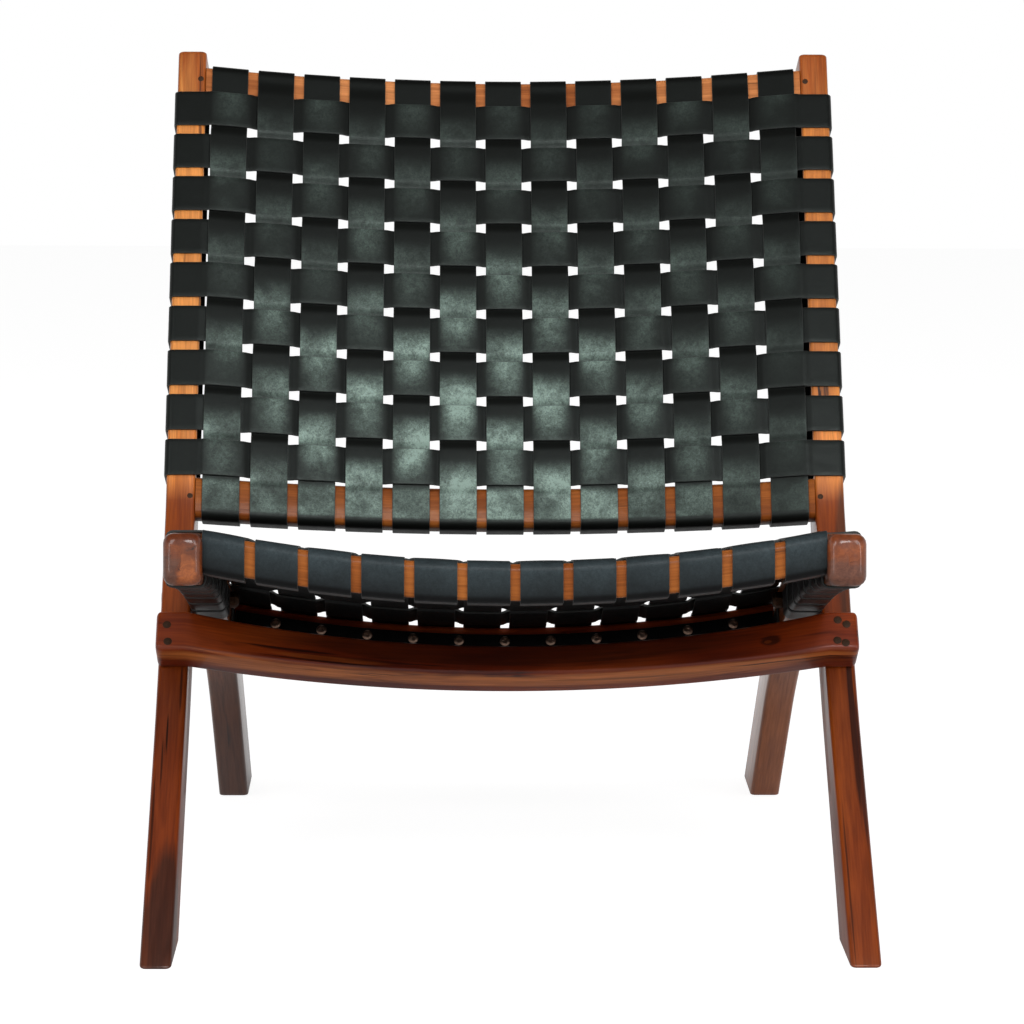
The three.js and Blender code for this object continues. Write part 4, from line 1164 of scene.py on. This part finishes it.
# %% Linings of the posts
TRIM_DEPTH, TRIM_THICK, TRIM_END, TRIM_GAP, TRIM_ROUND = 42 * MM, 1 * MM, 3 * MM, 0.1 * MM, 0.3
trim_section = strap_section(TRIM_DEPTH, TRIM_THICK, TRIM_THICK * TRIM_ROUND)
trim_start = TOP_SLAT_DROP + SLAT_HEIGHT + TRIM_END
down_post = in_space(back_point(1.0) - back_point(0.0))
for word, side in SIDES:
    x = side * (POST_INNER - TRIM_THICK / 2 - TRIM_GAP)
    matrix = basis(
        down_post, ACROSS, in_space(back_front), in_space(back_point(trim_start, POST_DEPTH / 2), x)
    )
    line = [(0.0, 0.0), (LOWER_SLAT_DROP - TRIM_END - trim_start, 0.0)]
    swept_strap(
        f"{word}_post_trim", line, [0.0, 0.0], 0.0, matrix, raw_leather, BACK_BODY,
        shape=trim_section,
    )
print("trims", round(line[1][0], 3))

# %% [markdown]
# The seat's lengthwise straps come from under the front bar over its rounded edge, run back through
# the rows and turn round the rear bar. They follow the curve of the rails, so their lines are drawn
# beside the rail's own path rather than in a straight panel that is bent afterwards.

# %% Lengthwise straps of the seat
SEAT_MARGIN, ROW_BEFORE_REAR_BAR, ROW_BEHIND_FRONT_BAR = 0.5 * MM, 7.5 * MM, 6 * MM
LEVEL_AT_FRONT, SEAT_SAG = 1 * MM, 2.3 * MM
# Painted sheen on the seat's straps where they run over the front face of the front bar.
FRONT_SHEEN_LOW, FRONT_SHEEN_TOP, DIVE_ANGLE = 0.25, 1.0, 62
seat_columns = spread(SEAT_MARGIN - RAIL_INNER, RAIL_INNER - SEAT_MARGIN)
seat_rows = spread(ROW_BEFORE_REAR_BAR - REAR_BAR_SETBACK, front_bar_rear - ROW_BEHIND_FRONT_BAR)
seat_rows.reverse()
seat_middle = seat_station((seat_rows[0] + seat_rows[-1]) / 2)


def bar_turn(station, top, slope, at_front, at_top, from_degrees, to_degrees):
    """Part of a turn round one corner of a bar, in the side plane."""
    room = STRAP_WIDTH / 2 * abs(slope * math.sin(station[1] - seat_middle[1]))
    edge = BAR_TOP_EDGE if at_top else BAR_LOW_EDGE
    ahead = BAR_THICK - edge if at_front else edge
    up = top - edge if at_top else top - BAR_HEIGHT + edge
    bend = turn(ahead, up, edge + room + STRAP_LIFT, from_degrees, to_degrees)
    return [tuple(beside(station, -v, u)) for u, v in bend]


def tail(end, before):
    """Where a strap ends that runs on straight under a bar."""
    end = Vector(end)
    return tuple(end + (end - Vector(before)).normalized() * (BAR_THICK - 2 * BAR_LOW_EDGE))


turn_shares = [i / TURN_STEPS for i in range(TURN_STEPS + 1)]
# Painted sheen growing up the front face of the front bar and fading as the strap turns over its
# top.
front_sheens = [FRONT_SHEEN_TOP * math.cos(QUARTER * share) ** 0.5 for share in turn_shares]
for column, x in enumerate(seat_columns):
    top = RAIL_TOP - bow_at(x, BAR_BOW, RAIL_INNER)
    slope = -2 * BAR_BOW * x / RAIL_INNER**2
    start, end = front_bar_rear + BAR_THICK - BAR_TOP_EDGE, seat_rows[-1] - STRAP_WIDTH / 2
    levels = [(-start, LEVEL_AT_FRONT - front_bar_rear, STRAP_LIFT, 0)]
    overs = [not is_over(row, column) for row in range(len(seat_rows))]
    levels += crossings([-s for s in seat_rows], overs, SEAT_SAG)
    points = bar_turn(front_bar_station, top, slope, True, False, -90, 0)
    points = [tail(points[0], points[1])] + points
    points += bar_turn(front_bar_station, top, slope, True, True, 0, 90)
    for t in samples(-start, -end)[1:]:
        points.append(tuple(beside(seat_station(-t), -(top + weave_height(t, levels)))))
    points += bar_turn(rear_bar_station, top, slope, True, True, DIVE_ANGLE, 90)
    points += bar_turn(rear_bar_station, top, slope, False, True, 90, 180)
    points += bar_turn(rear_bar_station, top, slope, False, False, 180, 270)
    points.append(tail(points[-1], points[-2]))
    painted_sheens = [0.0] * (TURN_STEPS + 1) + [FRONT_SHEEN_LOW] + front_sheens
    painted_sheens += [0.0] * (len(points) - len(painted_sheens))
    matrix = lengthwise_matrix(x, slope, -up_from(seat_middle))
    name = f"seat_strap_along_{column + 1:02d}"
    swept_strap(f"{name}_leather", points, painted_sheens, 0.0, matrix, seat_leather, SEAT_BODY, name)
print("lengthwise seat straps", len(seat_columns))

# %% [markdown]
# The seat's straps across start on the inner face of one rail, pass under it, turn round its outer
# side and cross to the other. The row that lies over the pivots has no room to turn between rail and
# post and stays on top. A narrow strip hides the strap ends on the rear bar.

# %% Straps across the seat
WRAP_EDGE, PIVOT_REACH = 4 * MM, 10 * MM
STRIP_LOW, STRIP_HIGH, STRIP_SHORT = 26 * MM, 10 * MM, 2 * MM
STRIP_THICK, STRIP_EDGE = 2.5 * MM, 0.8 * MM
outer, inner, r = RAIL_OUTER - WRAP_EDGE, RAIL_INNER + WRAP_EDGE, WRAP_EDGE + STRAP_LIFT
rail_wrap = [(RAIL_INNER - STRAP_LIFT, STRAP_TAIL - RAIL_TOP)]
rail_wrap += turn(inner, WRAP_EDGE - RAIL_TOP, r, 180, 270)
rail_wrap += turn(outer, WRAP_EDGE - RAIL_TOP, r, -90, 0)
rail_wrap += turn(outer, RAIL_TOP - WRAP_EDGE, r, 0, 90)
for row, s in enumerate(seat_rows):
    at_pivot = abs(s) < STRAP_WIDTH / 2 + PIVOT_REACH
    station = seat_station(s)
    strap_across(
        f"seat_strap_across_{row + 1:02d}", row, seat_columns,
        [(outer, RAIL_TOP + STRAP_LIFT)] if at_pivot else rail_wrap, RAIL_INNER, WRAP_EDGE, BAR_BOW,
        basis(*cross_axes(up_from(station)), in_space(station[0])), seat_leather, SEAT_BODY,
        low=SEAT_SAG, lift=RAIL_TOP,
    )
strip = cross_member(
    "rear_bar_strip_leather", rear_bar_axes,
    in_space(beside(rear_bar_station, 0, BAR_THICK + FIT)), RAIL_INNER - STRIP_SHORT, BAR_BOW,
    (RAIL_TOP - STRIP_LOW, RAIL_TOP - STRIP_HIGH), (0, STRIP_THICK), STRIP_EDGE, 0.0,
    level=RAIL_INNER,
)
place(strip, seat_leather, SEAT_BODY, "strap_leather", "rear_bar_strip")
print("seat straps across", len(seat_rows))

# %% [markdown]
# Fasteners: wooden plugs over the screws of the crossbar, pins through the tenons of the back, and
# dull bronze screws that hold the strip of the rear bar. They could be copied one by one; a tree
# that sets one small model on a list of places with a facing does it for each kind, and turns each
# by its own angle.

# %% The fastener tree
FULL_TURN, SPIN_SEED, FLOAT_MAX = 6.28, 7, 3
LOBES, LOBED_PART, TURNED_SHARP = 6, 0.6, 40


def fastener_tree():
    tree, given = new_tree(
        "fasteners_at_places", ("Model", "Object", None), ("Size", "Float", 1.0),
        ("Material", "Material", None),
    )
    model = add(tree, "GeometryNodeObjectInfo", Object=given["Model"])["Geometry"]
    facing = add(tree, "GeometryNodeInputNamedAttribute", data_type="FLOAT_VECTOR", Name="facing")
    aim = add(tree, "FunctionNodeAlignRotationToVector", axis="Z", Vector=facing["Attribute"])[0]
    spin = tree.nodes.new("FunctionNodeRandomValue")
    spin.inputs[FLOAT_MAX].default_value = FULL_TURN
    fill(tree, spin, {"data_type": "FLOAT", "Seed": SPIN_SEED})
    own = add(tree, "FunctionNodeAxisAngleToRotation", Angle=spin.outputs[1])[0]
    both = add(tree, "FunctionNodeRotateRotation", aim, own, rotation_space="LOCAL")[0]
    on = add(
        tree, "GeometryNodeInstanceOnPoints", Points=given["Geometry"], Instance=model,
        Rotation=both, Scale=given["Size"],
    )[0]
    return close_tree(tree, on, given["Material"])


def turned_model(name, profile, sides, star=0.0):
    """A turned body along Z from (radius, height) pairs. A star lobes the rings near its axis."""
    angles = [2 * math.pi * i / sides for i in range(sides)]
    rings = []
    for radius, height in profile:
        depth = star if radius < profile[0][0] * LOBED_PART else 0.0
        radii = [radius * (1 + depth * math.cos(LOBES * a)) for a in angles]
        rings.append([(r * math.cos(a), r * math.sin(a), height) for r, a in zip(radii, angles)])
    return join_rings(name, rings, sharp_degrees=TURNED_SHARP)


def fasteners(name, model, places, material, body, slot, size=1.0):
    mesh = bpy.data.meshes.new(name)
    mesh.from_pydata([tuple(p) for p, _ in places], [], [])
    facing = mesh.attributes.new("facing", "FLOAT_VECTOR", "POINT")
    facing.data.foreach_set("vector", [c for _, f in places for c in f])
    made = bake(new_object(name, mesh), place_tree, Model=model, Size=size, Material=material)
    print(name, len(places))
    return place(made, None, body, slot)


METAL = {"gloss": 0.5, "spots": 420.0, "dark": 0.55, "metallic": 1.0}
place_tree = fastener_tree()
bronze = spotted_material("bronze_screw", (0.36, 0.24, 0.18), 0.36, **METAL)
steel = spotted_material("browned_steel", (0.06, 0.032, 0.02), 0.5, **METAL)
plug_wood = spotted_material("plug_wood", (0.045, 0.02, 0.009), 0.55)

# %% [markdown]
# The screws have a low rounded head with a star-shaped recess, the plugs are sanded nearly flush. A
# picture of a screw would be flat from the side, so each is turned from a short profile. One screw
# sits between each two lengthwise straps; the plugs sit where the photograph shows them.

# %% Screws, plugs and pins
SCREW_PROFILE = (
    (4.2, -0.5), (4.3, 0.5), (3.9, 1.3), (3.0, 1.8),
    (2.2, 2.0), (1.9, 1.95), (1.7, 0.6), (0.5, 0.5),
)
PLUG_PROFILE = ((3.9, -0.6), (3.9, 0.1), (3.5, 0.4), (1.5, 0.5))
PLUGS = ((306, 9.6), (313.9, 14), (304.5, 31), (312, 33.5), (-315, 15), (-313.5, 32.5))
SCREW_SIDES, SCREW_STAR, SCREW_SIZE, SCREW_DROP = 36, 0.18, 1.18, 17.5 * MM
PLUG_SIDES, PIN_SIZE, PIN_IN_POST = 20, 0.72, 5 * MM
PIN_DROPS = (TOP_SLAT_DROP + 14 * MM, LOWER_SLAT_DROP + 20 * MM)


def in_metres(profile):
    return [(radius * MM, height * MM) for radius, height in profile]


screw_model = turned_model("screw_model", in_metres(SCREW_PROFILE), SCREW_SIDES, SCREW_STAR)
plug_model = turned_model("plug_model", in_metres(PLUG_PROFILE), PLUG_SIDES)
across, out, far = rear_bar_axes
strip_front = in_space(beside(rear_bar_station, 0, BAR_THICK + FIT + STRIP_THICK))
places = []
for a, b in zip(seat_columns, seat_columns[1:]):
    x = (a + b) / 2
    up = RAIL_TOP - SCREW_DROP - bow_at(x, BAR_BOW, RAIL_INNER)
    places.append((strip_front + across * x + out * up, tuple(far)))
fasteners("rear_bar_screws", screw_model, places, bronze, SEAT_BODY, "pivot_metal", SCREW_SIZE)

across, out, far = crossbar_axes
face = crossbar_origin + far * CROSSBAR_THICK
places = [(face + across * x * MM - out * down * MM, tuple(far)) for x, down in PLUGS]
fasteners("crossbar_plugs", plug_model, places, plug_wood, BACK_BODY, "crossbar_wood")

places = []
for word, side in SIDES:
    for drop in PIN_DROPS:
        spot = in_space(back_point(drop), side * (POST_INNER + PIN_IN_POST))
        places.append((spot, tuple(in_space(back_front))))
fasteners("tenon_pins", plug_model, places, plug_wood, BACK_BODY, "post_wood", PIN_SIZE)

for obj in (section, trim_section, screw_model, plug_model):
    bpy.data.objects.remove(obj)

# %% [markdown]
# The seat frame turns on two steel bolts, each with a washer between post and rail and a nut inside.
# The photograph shows nothing of their heads, so they have to be low: the measured bolt could stay,
# but here it is turned again with a rounded head and a socket that hardly stands out from the post.

# %% Pivots
BOLT_RADIUS, BOLT_HEAD_RADIUS, BOLT_HEAD_HEIGHT, BOLT_SIDES = 4 * MM, 9 * MM, 1.5 * MM, 32
BOLT_PAST_RAIL, BOLT_TIP, BOLT_TIP_SHARE = 6 * MM, 0.6 * MM, 0.85
HEAD_SHARES = (
    (0.96, 0.0), (1.0, 0.3), (0.96, 0.6), (0.86, 0.85), (0.6, 1.0),
    (0.36, 1.0), (0.32, 0.85), (0.3, 0.2), (0.05, 0.18),
)
bolt_end, head_face = RAIL_INNER - BOLT_PAST_RAIL, CHAIR_HALF + FIT
bolt_profile = [(BOLT_RADIUS * BOLT_TIP_SHARE, bolt_end), (BOLT_RADIUS, bolt_end + BOLT_TIP)]
bolt_profile += [(BOLT_RADIUS, head_face)]
bolt_profile += [(BOLT_HEAD_RADIUS * r, head_face + BOLT_HEAD_HEIGHT * h) for r, h in HEAD_SHARES]
for word, side in SIDES:
    bolt = turned_model(f"{word}_pivot_bolt_steel", bolt_profile, BOLT_SIDES)
    aside = Matrix.Rotation(side * QUARTER, 4, "Y")
    bolt.data.transform(Matrix.Translation((0, PIVOT.y, PIVOT.z)) @ aside)
    place(bolt, steel, BACK_BODY, "pivot_metal", f"{word}_pivot_bolt")
    for part in ("nut", "washer"):
        coat_with(bpy.data.objects[f"{word}_pivot_{part}"], steel)
print("bolt length", round((head_face - bolt_end) / MM, 1), "mm")

# %% [markdown]
# The floor and the walls are those of a white studio. White paint in strong light would do, but it
# would also bleach the lacquer. So the floor glows only for rays from the camera and for those that
# the gloss sends out, and the walls light the chair at half of what is seen. The gloss sees the
# floor darker under and before the chair, where a real one is shaded, and the floor keeps a faint
# shadow at the feet. The ceiling is dark.

# %% Floor and walls
FLOOR_GLOW, FLOOR_SEEN, FLOOR_WHITE, FLOOR_HALF = 0.925, 0.3, 0.6, 6
SHADE_AHEAD, SHADE_START, SHADE_END, UNDER_CHAIR = 0.7, 0.8, 1.7, 0.1
WALL_FILL, CEILING, CEILING_FROM, CEILING_TO = 0.5, 0.04, 0.3, 0.66


def seen_share(tree, in_gloss=1.0):
    """1 for rays from the camera and in_gloss for rays that gloss or glass sends on, else 0."""
    ray = add(tree, "ShaderNodeLightPath")
    sent = maths(tree, "MAXIMUM", ray["Is Glossy Ray"], ray["Is Transmission Ray"])
    return maths(tree, "MAXIMUM", ray["Is Camera Ray"], maths(tree, "MULTIPLY", sent, in_gloss))


def white_floor():
    material, tree, shader = new_material("white_floor")
    centred = vectors(tree, "ADD", object_place(tree), (0, SHADE_AHEAD, 0))
    far = vectors(tree, "LENGTH", centred)
    seen = seen_share(tree, scaled(tree, far, SHADE_START, SHADE_END, UNDER_CHAIR, 1.0))
    fill(tree, shader, {
        "Base Color": ramp(tree, seen, [(0.0, grey(FLOOR_WHITE)), (1.0, grey(FLOOR_SEEN))]),
        "Roughness": 0.9,
        "Specular IOR Level": 0.0,
        "Emission Color": (1, 1, 1, 1),
        "Emission Strength": scaled(tree, seen, 0.0, 1.0, 0.0, FLOOR_GLOW),
    })
    return material


def white_room():
    world = bpy.data.worlds.new("white_room")
    bpy.context.scene.world = world
    world.use_nodes = True
    tree = world.node_tree
    up = add(tree, "ShaderNodeSeparateXYZ", add(tree, "ShaderNodeTexCoord")["Generated"])["Z"]
    shade = scaled(tree, up, CEILING_FROM, CEILING_TO, 1.0, CEILING)
    walls = scaled(tree, seen_share(tree), 0.0, 1.0, WALL_FILL, 1.0)
    fill(tree, tree.nodes["Background"], {
        "Color": (1, 1, 1, 1), "Strength": maths(tree, "MULTIPLY", walls, shade),
    })


floor_mesh = bpy.data.meshes.new("floor")
corners = [(x * FLOOR_HALF, y * FLOOR_HALF, 0) for x, y in ((-1, -1), (1, -1), (1, 1), (-1, 1))]
floor_mesh.from_pydata(corners, [], [(0, 1, 2, 3)])
floor = new_object("floor", floor_mesh)
floor.data.materials.append(white_floor())
floor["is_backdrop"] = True
white_room()
bpy.context.scene.view_settings.view_transform = "Standard"
print("floor", 2 * FLOOR_HALF, "m wide")

# %% [markdown]
# A product studio lights a chair with wide soft boxes: three stand in front, and two narrow strips
# low at the sides put a line of light on the legs. One more hangs overhead and only fills, hidden
# from the gloss, because a lamp there would bleach the lacquer. Point lamps would be simpler, but
# their shadows are hard and their reflections are dots.

# %% Lamps
CHAIR_MIDDLE = (0, 0, 0.4)


def soft_box(name, location, target, width, height, power, in_gloss=True):
    data = bpy.data.lights.new(name, "AREA")
    data.shape = "RECTANGLE"
    data.size, data.size_y, data.energy = width, height, power
    lamp = new_object(name, data)
    lamp.location = location
    aim = Vector(target) - Vector(location)
    lamp.rotation_euler = aim.to_track_quat("-Z", "Y").to_euler()
    lamp.visible_glossy = in_gloss


soft_box("front_box", (0.3, -2.3, 2.1), (0, 0.15, 0.45), 1.0, 0.7, 30)
soft_box("top_box", (0, -0.5, 3.0), CHAIR_MIDDLE, 2.4, 2.0, 30, in_gloss=False)
for word, side in SIDES:
    soft_box(f"front_{word}_box", (side * 1.8, -2.3, 2.3), CHAIR_MIDDLE, 0.9, 1.2, 20)
    soft_box(f"{word}_strip", (side * 1.9, -1.9, 0.9), CHAIR_MIDDLE, 0.16, 1.4, 7)

# %% [markdown]
# The size of the finished look is printed beside the size of the measured model, so the two can be
# told apart.

# %% Finish
boxes = {"cad_box": [list(c) for c in cad_box], "final_box": [list(c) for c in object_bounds()]}
for name, (low, high) in boxes.items():
    print(name, [round(v, 4) for v in low], [round(v, 4) for v in high])
